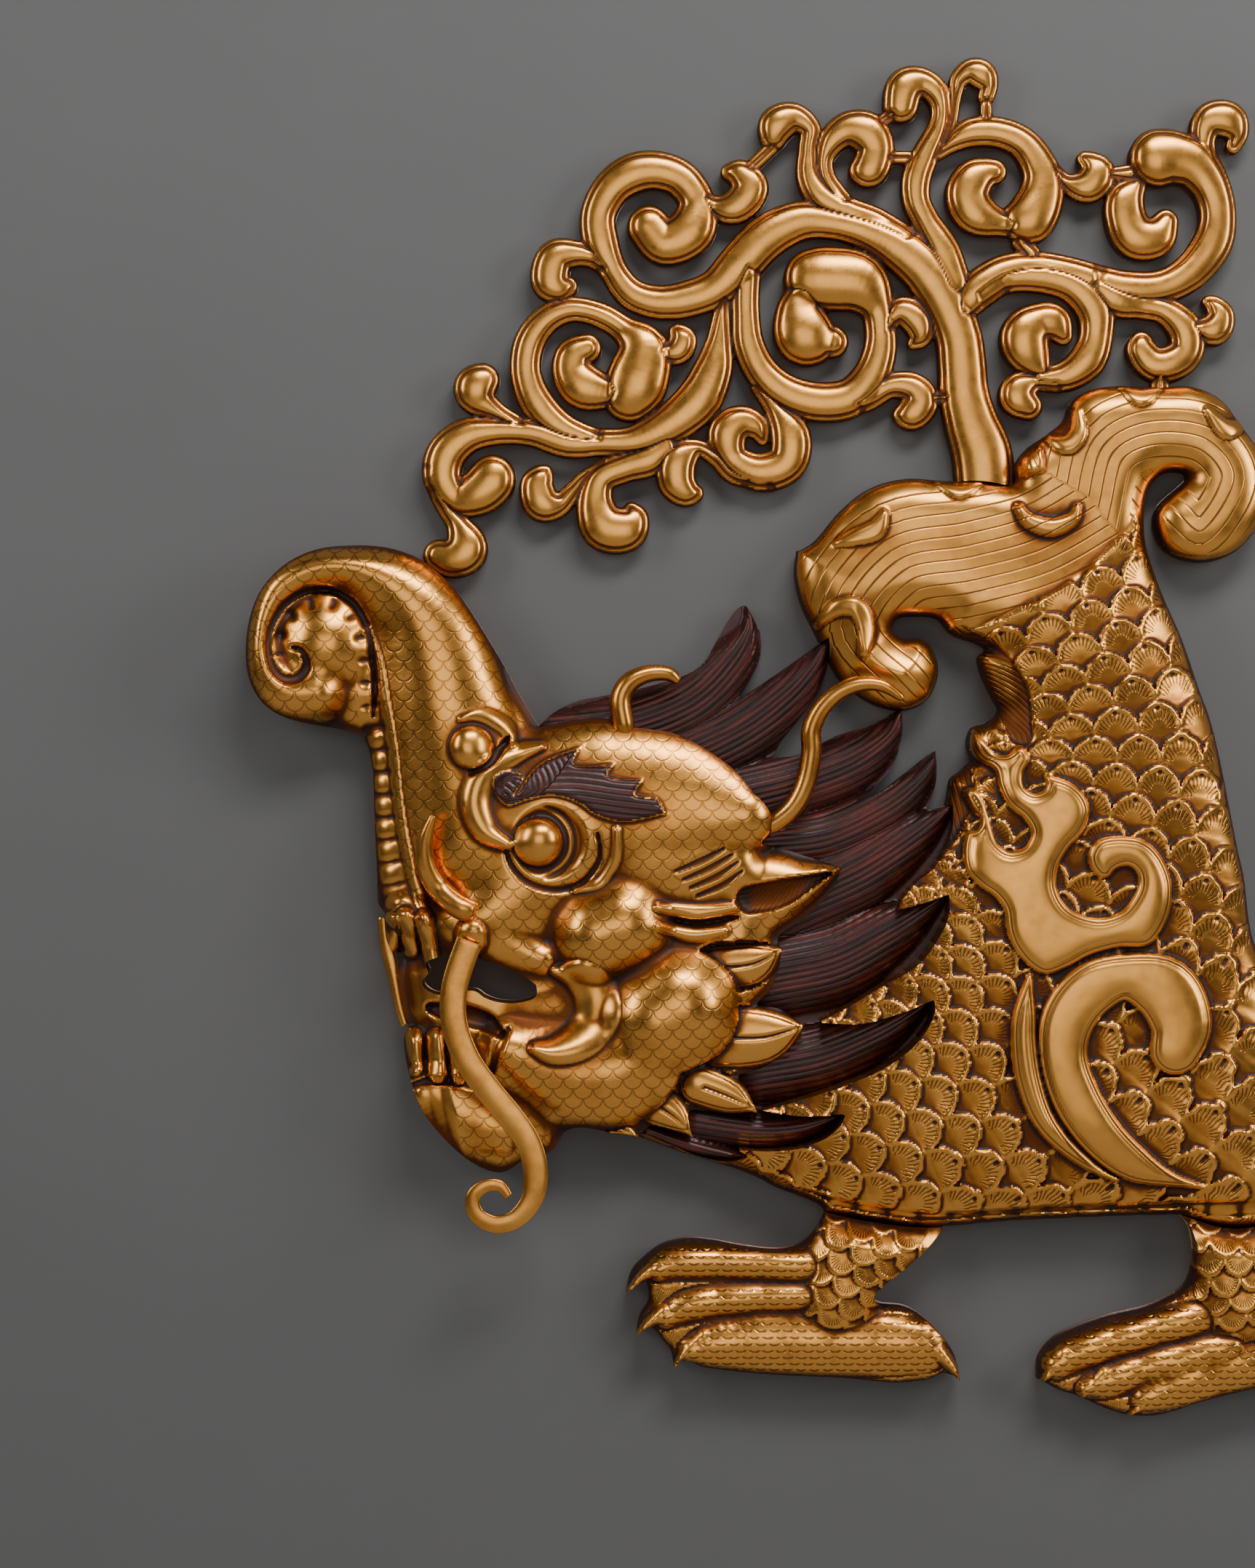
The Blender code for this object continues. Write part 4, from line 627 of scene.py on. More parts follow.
def raised_sheet(name, inside, carve, points, cell):
    """A closed hammered sheet; carve gives its height in metres and its pattern measures."""
    drawn = np.array([point[:2] for point in points], float)
    reach = max([point[2] for point in points if len(point) > 2], default=0) + 12
    left, top = drawn.min(axis=0) - reach
    right, bottom = drawn.max(axis=0) + reach
    columns, rows = round((right - left) / cell), round((bottom - top) / cell)
    bpy.ops.mesh.primitive_grid_add(x_subdivisions=columns, y_subdivisions=rows, size=1)
    sheet = bpy.context.object
    sheet.name = name
    mesh = sheet.data
    flat = np.empty(len(mesh.vertices) * 3, np.float32)
    mesh.vertices.foreach_get("co", flat)
    flat = flat.reshape(-1, 3)
    x = left + (flat[:, 0] + 0.5) * (right - left)
    y = top + (0.5 - flat[:, 1]) * (bottom - top)

    within = inside(x, y)
    on_sheet = within > -2 * cell
    measures = {}
    for key, values in carve(x[on_sheet], y[on_sheet]).items():
        measures[key] = np.zeros(len(x))
        measures[key][on_sheet] = values
    shape = (rows + 1, columns + 1)
    mask = on_sheet.reshape(shape)
    height = measures.pop("height").reshape(shape)
    crease = (blur(height, mask, NEAR_CELLS) - height) / CREASE_NEAR
    hollow = (blur(height, mask, WIDE_CELLS) - height) / CREASE_WIDE
    store(mesh, "crease", crease.ravel())
    store(mesh, "hollow", hollow.ravel())
    store(mesh, "level", (0.5 * height + 0.5 * blur(height, mask, 1)).ravel())
    for key, values in measures.items():
        store(mesh, key, values)
    mesh.vertices.foreach_set("co", np.column_stack([x, y, 0 * x]).astype(np.float32).ravel())

    bm = bmesh.new()
    bm.from_mesh(mesh)
    kept = within > 0
    bm.faces.ensure_lookup_table()
    outside = [face for face in bm.faces if sum(kept[vert.index] for vert in face.verts) < 2]
    delete_faces(bm, outside)
    open_pinches(bm)
    drop_crumbs(bm, LEAST_FACES)
    rim = snap_rim(bm, inside, cell)
    level = bm.verts.layers.float["level"]
    edge = np.array([vert.co[:2] for vert in rim])
    for vert, value in zip(rim, carve(edge[:, 0], edge[:, 1])["height"]):
        vert[level] = value
    place = np.array([(vert.co.x, vert.co.y, vert[level]) for vert in bm.verts])
    for vert, co in zip(bm.verts, to_world(place[:, 0], place[:, 1], place[:, 2])):
        vert.co = co
    close_to_wall(bm)
    bm.to_mesh(mesh)
    bm.free()
    mesh.attributes.remove(mesh.attributes["level"])
    finish_sheet(sheet)
    return sheet


def close_to_wall(bm):
    """Gives the raised front a wall down to the wall plane, and a flat back of few triangles there."""
    walls = bmesh.ops.extrude_edge_only(bm, edges=rim_edges(bm))
    layers = bm.verts.layers.float
    for item in walls["geom"]:
        if isinstance(item, bmesh.types.BMVert):
            item.co.y = 0
            for name in layers.keys():
                item[layers[name]] = BACK_PATINA if name in ("crease", "hollow") else 0.0
    rim = rim_edges(bm)
    verts = list({vert for edge in rim for vert in edge.verts})
    verts.sort(key=lambda vert: vert.index)
    number = {vert: index for index, vert in enumerate(verts)}
    pairs = [(number[edge.verts[0]], number[edge.verts[1]]) for edge in rim]
    flat = [vert.co.xz for vert in verts]
    points, _, faces, sources, *_ = delaunay_2d_cdt(flat, pairs, [], 1, 1e-7)
    corners = np.array([[points[index][:] for index in face] for face in faces]).mean(axis=1)
    loops = np.array([[flat[a][:], flat[b][:]] for a, b in pairs])
    kept = within_loops(corners[:, 0], corners[:, 1], loops[:, 0], loops[:, 1])
    for face, keep in zip(faces, kept):
        if keep:
            bm.faces.new([verts[sources[index][0]] for index in face])
    bmesh.ops.recalc_face_normals(bm, faces=bm.faces[:])
    open_edges = len(rim_edges(bm))
    if open_edges:
        print("Edges left open:", open_edges)


def finish_sheet(sheet):
    select_only(sheet)
    bpy.ops.object.shade_smooth_by_angle(angle=math.radians(50))
    print(f"{sheet.name}: {len(sheet.data.vertices)} points, {len(sheet.data.polygons)} faces")


# %% [markdown]
# ## Wiring materials
#
# A finish on real metal is made of layers: the gilding, the brown that was rubbed into the creases, the
# small dents of the hammer, and the chased lines. In a material they are sums and mixes of masks. A few
# short helpers keep the wiring readable: each adds one node and returns its output.

# %% Node helpers
class Wiring:
    """Adds nodes to one material, one short call each."""

    def __init__(self, name):
        self.material = bpy.data.materials.new(name)
        self.material.use_nodes = True
        self.tree = self.material.node_tree
        self.shader = self.tree.nodes["Principled BSDF"]
        self.place = self.tree.nodes.new("ShaderNodeTexCoord").outputs["Object"]

    def link(self, value, socket):
        if isinstance(value, bpy.types.NodeSocket):
            self.tree.links.new(value, socket)
        else:
            socket.default_value = value

    def math(self, operation, a, b=0.0, clamp=False):
        node = self.tree.nodes.new("ShaderNodeMath")
        node.operation = operation
        node.use_clamp = clamp
        self.link(a, node.inputs[0])
        self.link(b, node.inputs[1])
        return node.outputs[0]

    def add(self, *values):
        total = values[0]
        for value in values[1:]:
            total = self.math("ADD", total, value)
        return total

    def times(self, a, b):
        return self.math("MULTIPLY", a, b)

    def attribute(self, name):
        node = self.tree.nodes.new("ShaderNodeAttribute")
        node.attribute_name = name
        return node.outputs["Fac"]

    def remap(self, value, low, high, to_low=0.0, to_high=1.0):
        """Smooth step of a value between two marks."""
        node = self.tree.nodes.new("ShaderNodeMapRange")
        node.interpolation_type = "SMOOTHSTEP"
        self.link(value, node.inputs["Value"])
        for socket, mark in zip(("From Min", "From Max", "To Min", "To Max"), (low, high, to_low, to_high)):
            node.inputs[socket].default_value = mark
        return node.outputs["Result"]

    def noise(self, scale, detail=3.0, vector=None):
        node = self.tree.nodes.new("ShaderNodeTexNoise")
        node.inputs["Scale"].default_value = scale
        node.inputs["Detail"].default_value = detail
        self.link(vector or self.place, node.inputs["Vector"])
        return node.outputs["Fac"]

    def dents(self, scale):
        node = self.tree.nodes.new("ShaderNodeTexVoronoi")
        node.feature = "SMOOTH_F1"
        node.inputs["Scale"].default_value = scale
        self.link(self.place, node.inputs["Vector"])
        return node.outputs["Distance"]

    def pulse(self, value, place, width):
        """A line, 1 where the value is at its place and 0 from the width on."""
        away = self.math("ABSOLUTE", self.math("SUBTRACT", value, place))
        return self.remap(away, width, 0.0)

    def wave(self, phase):
        """Grooves, one for each whole number of the phase: 1 on a ridge, 0 in a groove."""
        turn = self.math("SINE", self.times(phase, 2 * math.pi))
        return self.add(self.times(turn, 0.5), 0.5)

    def mix(self, share, a, b):
        node = self.tree.nodes.new("ShaderNodeMix")
        node.data_type = "RGBA"
        self.link(share, node.inputs["Factor"])
        self.link(a, node.inputs["A"])
        self.link(b, node.inputs["B"])
        return node.outputs["Result"]

    def bump(self, height):
        """Relief whose height is given in millimetres."""
        node = self.tree.nodes.new("ShaderNodeBump")
        node.inputs["Distance"].default_value = 0.001
        self.link(height, node.inputs["Height"])
        self.tree.links.new(node.outputs["Normal"], self.shader.inputs["Normal"])


ARC_RADIUS = 0.47


def scallops(wires, size, width, reach):
    """Rows of chased arcs over X and Z; size is in metres, and a lower reach makes shorter arcs."""
    mapping = wires.tree.nodes.new("ShaderNodeMapping")
    mapping.inputs["Scale"].default_value = (1 / size,) * 3
    wires.link(wires.place, mapping.inputs["Vector"])
    split = wires.tree.nodes.new("ShaderNodeSeparateXYZ")
    wires.link(mapping.outputs["Vector"], split.inputs["Vector"])
    lines = None
    for shift in (0.0, 0.5):
        across = wires.math("SUBTRACT", wires.math("FRACT", wires.add(split.outputs["X"], shift)), 0.5)
        along = wires.math("SUBTRACT", wires.math("FRACT", wires.add(split.outputs["Z"], shift)), 0.5)
        square = wires.add(wires.times(across, across), wires.times(along, along))
        away = wires.math("ABSOLUTE", wires.math("SUBTRACT", wires.math("SQRT", square), ARC_RADIUS))
        line = wires.times(wires.remap(away, width, 0.2 * width), wires.math("LESS_THAN", along, reach))
        lines = line if lines is None else wires.math("MAXIMUM", lines, line)
    return lines


# %% [markdown]
# ## Gilt copper
#
# Gilding on copper looks warm because the brown patina stays in every crease and the copper shows through
# where the gold is thin. The creases come from the carving's own attributes. The chased marks are lines at
# a set distance from an edge, strokes across a band, or scallops on the skin, and each is both a groove in
# the bump and a little patina in the colour.

# %% The gilt finish
GOLD_BRIGHT = (0.86, 0.39, 0.080, 1)
GOLD_DEEP = (0.52, 0.20, 0.036, 1)
PATINA_WARM = (0.17, 0.052, 0.015, 1)
PATINA_DARK = (0.030, 0.009, 0.005, 1)
SKIN_SCALLOP = 0.0135
PUNCH_SCALLOP = 0.0092
BORDER_PLACE = 8.0
BORDER_WIDTH = 2.8
# Depths of the fine relief, in millimetres
DENT_DEPTH = 0.10
PIT_DEPTH = 0.008
WAVE_DEPTH = 0.30
CUT_DEPTH = 0.30
SKIN_DEPTH = 0.08


def gilt_copper():
    wires = Wiring("gilt_copper")
    crease = wires.attribute("crease")
    hollow = wires.attribute("hollow")
    smooth = wires.attribute("smooth")
    edge = wires.attribute("edge")

    # Chased marks: scallops, punched crescents, border lines, strokes across a band, lines of the fin
    skin = wires.times(wires.attribute("skin"), wires.times(scallops(wires, SKIN_SCALLOP, 0.075, 0.0), 0.65))
    punched = wires.times(wires.attribute("punched"), scallops(wires, PUNCH_SCALLOP, 0.12, -0.30))
    border = wires.times(wires.pulse(edge, BORDER_PLACE, BORDER_WIDTH), 0.9)
    border = wires.times(border, wires.math("GREATER_THAN", edge, 0.5))
    strokes = wires.remap(wires.wave(wires.attribute("strand")), 0.5, 0.1)
    strokes = wires.times(wires.attribute("hatch"), strokes)
    incised = wires.pulse(wires.math("FRACT", wires.attribute("fin_line")), 0.5, 0.12)
    incised = wires.times(incised, wires.attribute("fin"))
    cuts = punched
    for marks in (border, strokes, incised):
        cuts = wires.math("MAXIMUM", cuts, marks)
    lines = wires.math("MAXIMUM", cuts, skin)

    # Colour: thin gold, patina where the sheet is sunk, painted shade in the hollows of the mouth and the ear with
    # a darker tint in a few other places, and the darkest brown in the deep creases
    blotch = wires.noise(28.0, 4.0)
    grime = wires.noise(150.0, 4.0)
    painted_shade_and_stain = wires.attribute("painted_shade_and_stain")
    sunk_and_shaded = wires.add(wires.times(crease, 0.50), wires.times(hollow, 0.62), wires.times(grime, 0.30), -0.15,
                     wires.times(smooth, -0.08), wires.times(painted_shade_and_stain, 0.6))
    thin = wires.remap(wires.add(wires.times(blotch, 0.9), sunk_and_shaded), 0.22, 0.80)
    color = wires.mix(thin, GOLD_BRIGHT, GOLD_DEEP)
    color = wires.mix(wires.remap(sunk_and_shaded, 0.12, 0.60), color, PATINA_WARM)
    color = wires.mix(wires.times(wires.remap(lines, 0.1, 0.9), 0.75), color, PATINA_WARM)
    dark = wires.remap(wires.add(wires.times(crease, 0.9), wires.times(hollow, 0.6)), 0.70, 1.8)
    color = wires.mix(dark, color, PATINA_DARK)
    wires.link(color, wires.shader.inputs["Base Color"])

    metal = wires.math("SUBTRACT", 1.0, wires.times(dark, 0.75), clamp=True)
    wires.link(metal, wires.shader.inputs["Metallic"])
    rough = wires.add(0.21, wires.times(grime, 0.14), wires.times(wires.remap(sunk_and_shaded, 0.0, 0.7), 0.24),
                      wires.times(smooth, 0.03))
    wires.link(rough, wires.shader.inputs["Roughness"])

    dents = wires.times(wires.dents(80.0), DENT_DEPTH)
    pits = wires.times(wires.noise(500.0, 2.0), PIT_DEPTH)
    waves = wires.times(wires.noise(45.0, 1.0), WAVE_DEPTH)
    wires.bump(wires.add(dents, pits, waves, wires.times(cuts, -CUT_DEPTH), wires.times(skin, -SKIN_DEPTH)))
    return wires.material


# %% [markdown]
# ## Dark lacquer
#
# The mane and the eyebrow are painted a very dark brown. The lacquer is glossy, and red streaks show where
# it was rubbed off along the hair. A noise that is stretched along the strands gives both.

# %% The dark finish
LACQUER = (0.024, 0.0065, 0.0045, 1)
LACQUER_RED = (0.120, 0.016, 0.010, 1)
# Paler brown for the hair ridges: a painted highlight, with some rubbed wear
RUBBED_AND_HIGHLIGHT = (0.20, 0.10, 0.085, 1)
HAIR_DEPTH = 0.38
BRUSH_DEPTH = 0.12


def dark_lacquer():
    wires = Wiring("dark_lacquered_copper")
    strand = wires.attribute("strand")
    grain = wires.tree.nodes.new("ShaderNodeCombineXYZ")
    wires.link(wires.times(strand, 0.9), grain.inputs["X"])
    wires.link(wires.times(wires.attribute("along"), 22.0), grain.inputs["Y"])
    streak = wires.noise(1.0, 4.0, grain.outputs["Vector"])
    ridge = wires.wave(strand)
    red = wires.remap(wires.add(streak, wires.times(ridge, 0.10)), 0.44, 0.82)
    color = wires.mix(red, LACQUER, LACQUER_RED)
    # Paler colour on the hair ridges: a painted highlight, with some rubbed wear
    ridge_highlight_and_wear = wires.times(wires.remap(wires.noise(420.0, 3.0), 0.60, 0.78), wires.remap(ridge, 0.5, 1.0))
    color = wires.mix(wires.times(ridge_highlight_and_wear, 0.35), color, RUBBED_AND_HIGHLIGHT)
    wires.link(color, wires.shader.inputs["Base Color"])
    wires.shader.inputs["Metallic"].default_value = 0.15
    rough = wires.add(0.24, wires.times(wires.noise(160.0, 3.0), 0.22))
    wires.link(rough, wires.shader.inputs["Roughness"])
    hair = wires.times(wires.attribute("hatch"), wires.math("POWER", ridge, 0.5))
    wires.bump(wires.add(wires.times(hair, HAIR_DEPTH), wires.times(wires.noise(260.0, 2.0), BRUSH_DEPTH)))
    return wires.material


gilt = gilt_copper()
dark = dark_lacquer()
print("Materials:", gilt.name, "and", dark.name)

# %% [markdown]
# ## The head
#
# The head is the highest relief. The trunk, the skull, both cheeks, the jaws and the ear are hammered up
# as separate domes whose valleys stay as creases. The face is then chased: the lids and the brow, the lip
# that curls round the corner of the mouth, the ribs of the throat, the veins of the golden frill. Its smooth
# skin carries fine chased scallops, so a skin measure marks where they go.

# %% Heights of the head
HEAD_RIM = 0.014
TRUNK_RISE = 0.036
SKULL_RISE = 0.036
CHEEK_RISE = 0.043
JAW_RISE = 0.030
EAR_RISE = 0.020
LEAF_LIFT = 0.008
LEAF_RISE = 0.010
VEIN_DEPTH = 0.0022
TOOTH_RISE = 0.009
TONGUE_RISE = 0.014
NOSTRIL_RISE = 0.009
SOCKET_DEPTH = 0.004
EYE_RISE = 0.013
LID_RINGS = (39, 50)
LID_DEPTH = 0.0016
SEAT_RISE = 0.006
BROW_RISE = 0.0032
BROW_PITCH = 8.5
RIB_DEPTH = 0.0030
CURL_DEPTH = 0.0042
TRUNK_EDGE_RISE = 0.0025
EAR_DEPTH = 0.009


def head_domes(x, y):
    swellings = [
        0.62 * SKULL_RISE * rounded(outline(HEAD, x, y), 60),
        lump(TRUNK, TRUNK_RISE, x, y),
        ball(*TRUNK_BALL, TRUNK_RISE, x, y),
        lump(THROAT, 0.45 * TRUNK_RISE, x, y),
        lump(CRANIUM, SKULL_RISE, x, y),
        lump(TEMPLE, 0.8 * SKULL_RISE, x, y),
        lump(FACE, SKULL_RISE, x, y),
        lump(UPPER_CHEEK, CHEEK_RISE, x, y),
        lump(LOWER_CHEEK, CHEEK_RISE, x, y),
        lump(JAW, SKULL_RISE, x, y),
        lump(CHIN, JAW_RISE, x, y),
        lump(UPPER_LIP, JAW_RISE, x, y),
        lump(EAR, EAR_RISE, x, y),
    ]
    return HEAD_RIM + blend(swellings, 0.011)


def head_outline(x, y):
    return np.minimum(outline(HEAD, x, y), -outline(MOUTH_GAP, x, y))


def carve_head(x, y):
    height = head_domes(x, y)
    skin = np.ones(x.shape)
    edge = np.full(x.shape, 99.0)
    hatch = np.zeros(x.shape)
    strand = np.zeros(x.shape)
    cheeks = np.maximum(lump(LOWER_CHEEK, 1, x, y), lump(JAW, 1, x, y))
    for leaf in FRILL:
        inside, _, length, across = branch(leaf, x, y)
        vein = VEIN_DEPTH * groove(across, 0, 3.5) * (length > 6)
        lifted = HEAD_RIM + LEAF_LIFT + lump(leaf, LEAF_RISE, x, y) - vein
        over = (inside > 0) & (cheeks < 0.3) & (x > 800)
        height = np.where(over, lifted, height)
        skin = np.where(over, 0, skin)
        edge = np.where(over, inside, edge)
    for tooth in TEETH:
        height += lump(tooth, TOOTH_RISE, x, y)
    height = np.maximum(height, HEAD_RIM + lump(TONGUE, TONGUE_RISE, x, y))

    # Eye, nostril and the ridges of the face
    height += ball(*NOSTRIL, NOSTRIL_RISE, x, y)
    eye_away = np.hypot(x - EYE[0], y - EYE[1])
    socket = np.hypot(x - EYE_SOCKET[0], y - EYE_SOCKET[1])
    height -= SOCKET_DEPTH * ramp(socket, EYE_SOCKET[2], EYE_SOCKET[2] - 14)
    height += ball(*EYE, EYE_RISE, x, y)
    for ring in LID_RINGS:
        height -= LID_DEPTH * groove(eye_away, ring, 4.5) * ramp(x, EYE[0], EYE[0] + 16)
    for ridge, rise in HEAD_RIDGES:
        share = lump(ridge, 1, x, y)**1.6
        height += rise * share
        skin = np.minimum(skin, 1 - ramp(share, 0.1, 0.4))
    height += lump(WHISKER_SEAT, SEAT_RISE, x, y)

    # Eyebrow, with its hair
    brow = outline(EYEBROW, x, y)
    height += BROW_RISE * rounded(brow, 8)
    _, offset = flow(BROW_SWEEP, x, y)
    strand = np.where(brow > 0, offset / BROW_PITCH, strand)
    hatch = np.where(brow > 1, 1.0, hatch)

    # Ribs of the throat and of the trunk's curl
    length, offset = flow(THROAT_RIBS, x, y)
    band = np.clip(1.6 - np.abs(offset) / (7 + 7 * ramp(length, 230, 320)), 0, 1) * (length > 1)
    height -= band * RIB_DEPTH * (1 - np.abs(np.sin(np.pi * length / RIB_PITCH)))**1.5
    height -= lump(TRUNK_CURL, CURL_DEPTH, x, y)
    height += lump(TRUNK_EDGE, TRUNK_EDGE_RISE, x, y)

    # Hollow of the ear, with its hair, and the furrows
    height -= lump(EAR_HOLLOW, EAR_DEPTH, x, y)
    ear_in, _, ear_length, ear_across = branch(EAR_HOLLOW, x, y)
    hatch = np.where(ear_in > -1, ramp(ear_in, -1, 3), hatch)
    strand = np.where(ear_in > -1, (ear_length * 0.8 + ear_across) / 6, strand)
    for furrow, depth in HEAD_FURROWS:
        height -= lump(furrow, depth, x, y)

    # Painted shade in the hollows of the mouth floor and the ear, and a darker tint towards the bottom and front of
    # the chin
    painted_shade_and_stain = np.maximum(lump(MOUTH_FLOOR, 1, x, y), 0.9 * lump(EAR_HOLLOW, 1, x, y))
    painted_shade_and_stain = ramp(painted_shade_and_stain, 0.2, 0.9) * (1 - lump(TONGUE, 0.6, x, y))
    painted_shade_and_stain = np.maximum(painted_shade_and_stain, 0.55 * ramp(y, 1470, 1560) * ramp(x, 800, 680))

    # The skin leaves out the eye, the nostril, the brow, the ribs, the ear and the mouth
    for (spot_x, spot_y, _), reach in ((EYE, 62), (NOSTRIL, 40)):
        skin = np.minimum(skin, ramp(np.hypot(x - spot_x, y - spot_y), reach - 8, reach + 4))
    skin = np.minimum(skin, ramp(-brow, 0, 6))
    skin = np.minimum(skin, 1 - ramp(band, 0, 0.2))
    skin = np.minimum(skin, ramp(-branch(EAR, x, y)[0], -14, -6))
    mouth = np.hypot((x - 600) / 1.6, (y - 1370) / 1.1)
    skin = np.minimum(skin, ramp(mouth, 78, 96))
    return {"height": height, "skin": skin, "edge": edge, "hatch": hatch, "strand": strand,
            "paint": ramp(brow, 0, 2), "painted_shade_and_stain": painted_shade_and_stain}


# %% [markdown]
# ## The mane
#
# The mane is a dark sheet behind the head. Its locks overlap like leaves: each lock is a pointed half round
# that stands a little above the one before, and the hair is a set of fine grooves that run along it. The
# strand measure counts those grooves across a lock, and the along measure lets red streaks follow them.

# %% Heights of the mane
MANE_RIM = 0.007
LOCK_RISE = 0.010
LOCK_STEP = 0.0006
HAIR_PITCH = 8.5
STRANDS_APART = 3.7


def mane_outline(x, y):
    return np.minimum(outline(MANE, x, y), -outline(HEAD, x, y))


def carve_mane(x, y):
    height = np.full(x.shape, MANE_RIM)
    strand = np.zeros(x.shape)
    along = np.zeros(x.shape)
    for number, lock in enumerate(LOCKS):
        _, _, length, across = branch(lock, x, y)
        lifted = MANE_RIM + lump(lock, LOCK_RISE + LOCK_STEP * number, x, y)
        over = lifted > height + 1e-6
        height = np.where(over, lifted, height)
        strand = np.where(over, across / HAIR_PITCH + STRANDS_APART * number, strand)
        along = np.where(over, length, along)
    return {"height": height, "strand": strand, "along": along * UNIT, "hatch": np.ones(x.shape)}


# %% [markdown]
# ## The body
#
# The fish body is covered with overlapping scales that run from the neck round to the tail. Rows of scales
# follow one centre line: a row number comes from the length along it, a place in the row from the offset
# across it, and every second row moves by half a scale. Each scale rises to its free edge, which faces away
# from the head, has a rolled rim there, a band of radial cuts inside the rim, and one small hole at its tip.
# The flame wing and the spirals are smooth flat bands laid over the scales, with a chased border.

# %% Scales
SCALE_ROW = 38
SCALE_WIDTH = 60
SCALE_STEP = 0.0046
SCALE_CUTS = 5.2


def shingles(length, offset, row, width):
    """Overlapping round-ended scales: height share, distance to the free edge, angle and tip distance."""
    radius = 0.52 * width
    height = np.zeros(length.shape)
    rim = np.full(length.shape, 99.0)
    angle = np.zeros(length.shape)
    tip = np.full(length.shape, 99.0)
    open_place = np.ones(length.shape, bool)
    first = np.floor((length - radius) / row)
    for number in range(4):
        k = first + number
        across = offset / width - 0.5 * (k % 2)
        across = (across - np.round(across)) * width
        edge = k * row + np.sqrt(np.clip(radius**2 - across**2, 0, None))
        covers = open_place & (length < edge)
        away = np.hypot(across, length - k * row)
        slope = 1 - (edge - length) / (1.7 * row)
        height[covers] = slope[covers]
        rim[covers] = np.where(length > k * row, radius - away, 99.0)[covers]
        angle[covers] = np.arctan2(across, length - k * row + 0.35 * radius)[covers]
        tip[covers] = np.hypot(across, k * row + radius - 7 - length)[covers]
        open_place &= ~covers
    return np.clip(height, 0, 1), rim, angle, tip


# %% Heights of the body
BODY_RIM = 0.012
BODY_RISE = 0.030
FIN_RISE = 0.018
WING_RISE = 0.0068
WING_STEP = 0.001
ROLLED_RIM = 0.0009
HOLE_DEPTH = 0.0016
FOLD_RISE = 0.006
HOOK_RISE = 0.0035
PLATE_RISE = 0.001
PLATE_DEPTH = 0.0026
PLATE_PITCH = 44
FIN_TOP = 720
FIN_END = 900
FIN_PITCH = 16
TUFT_PITCH = 7


def body_outline(x, y):
    return np.minimum(outline(BODY, x, y), np.minimum(-outline(HEAD, x, y), -outline(MANE, x, y)))


def carve_body(x, y):
    inside = outline(BODY, x, y)
    share = ramp(y, FIN_TOP, FIN_END)
    base = share * BODY_RISE * rounded(inside, 150) + (1 - share) * FIN_RISE * rounded(inside, 50)
    height = BODY_RIM + base
    length, offset = flow(BODY_LINE, x, y)
    scale, rim, angle, tip = shingles(length, offset, SCALE_ROW, SCALE_WIDTH)
    blade = branch(FIN_BLADE, x, y)[0]
    tail = branch(TAIL_BLADE, x, y)[0]
    fur = np.maximum.reduce([branch(tuft, x, y)[0] for tuft in FRINGE])
    tufted = ramp(fur, 0, 5)
    scaled = ramp(inside, 2, 12) * ramp(-np.maximum(blade, tail), -4, 6) * (1 - tufted)
    relief = SCALE_STEP * scale + ROLLED_RIM * groove(rim, 2.5, 4) - HOLE_DEPTH * ramp(5 - tip, 0, 3)
    height += relief * scaled
    band = ramp(rim, 5, 8) * (1 - ramp(rim, 17, 22)) * scaled
    phase = angle * SCALE_CUTS

    # Wing and spirals, laid over the scales
    edge = np.full(x.shape, 99.0)
    smooth = np.zeros(x.shape)
    lying = [(outline(WING, x, y), 30)] + [(branch(points, x, y)[0], 36) for points in SPIRAL_BANDS]
    for number, (piece, round_to) in enumerate(lying):
        over = piece > 0
        domed = 0.45 * rounded(piece, 9) + 0.55 * rounded(piece, round_to) - 0.12 * groove(piece, 11, 4)
        raised = BODY_RIM + base + SCALE_STEP * 0.6 + (WING_RISE + WING_STEP * number) * domed
        height = np.where(over, np.maximum(raised, height - relief * scaled), height)
        edge = np.where(over, piece, edge)
        smooth = np.where(over, 1.0, smooth)
    band = np.where(smooth > 0, 0, band)

    # Lines of the fin, of the tail and of the tufts beside the wing
    off_fin, off_tail = flow(FIN_BLADE, x, y)[1], flow(TAIL_BLADE, x, y)[1]
    fin_phase = np.where(blade > tail, off_fin, off_tail) / FIN_PITCH
    fin_lines = (1 - scaled) * (1 - smooth) * ramp(inside, 8, 14) * (1 - tufted)
    along_fur, off_fur = flow(FRINGE[0], x, y)
    phase = np.where(tufted > 0.5, (off_fur + 0.6 * along_fur) / TUFT_PITCH, phase)
    tuft_lines = tufted * (1 - (smooth > 0))
    smooth = np.maximum(smooth, 0.5 * fin_lines)
    height += FOLD_RISE * rounded(branch(FIN_FOLD, x, y)[0], 12)
    for hook in FIN_HOOKS:
        bulge = branch(hook, x, y)[0]
        height += HOOK_RISE * rounded(bulge, 10)
        fin_lines = np.where(bulge > 0, 0, fin_lines)

    # Plates of the belly
    belly, offset = flow(BELLY, x, y)
    plates = ramp(13 - np.abs(offset), 0, 3) * (y > 1560)
    height -= relief * scaled * plates * (1 - (smooth > 0))
    height += plates * (PLATE_RISE - PLATE_DEPTH * (1 - np.abs(np.sin(np.pi * belly / PLATE_PITCH)))**2)
    band = band * (1 - plates)
    # The tufts beside the wing are tinted darker, and the belly's plates a little
    return {"height": height, "hatch": np.maximum(band, tuft_lines), "strand": phase, "edge": edge,
            "smooth": smooth, "fin": fin_lines, "fin_line": fin_phase,
            "painted_shade_and_stain": np.maximum(0.8 * tuft_lines, 0.2 * plates)}


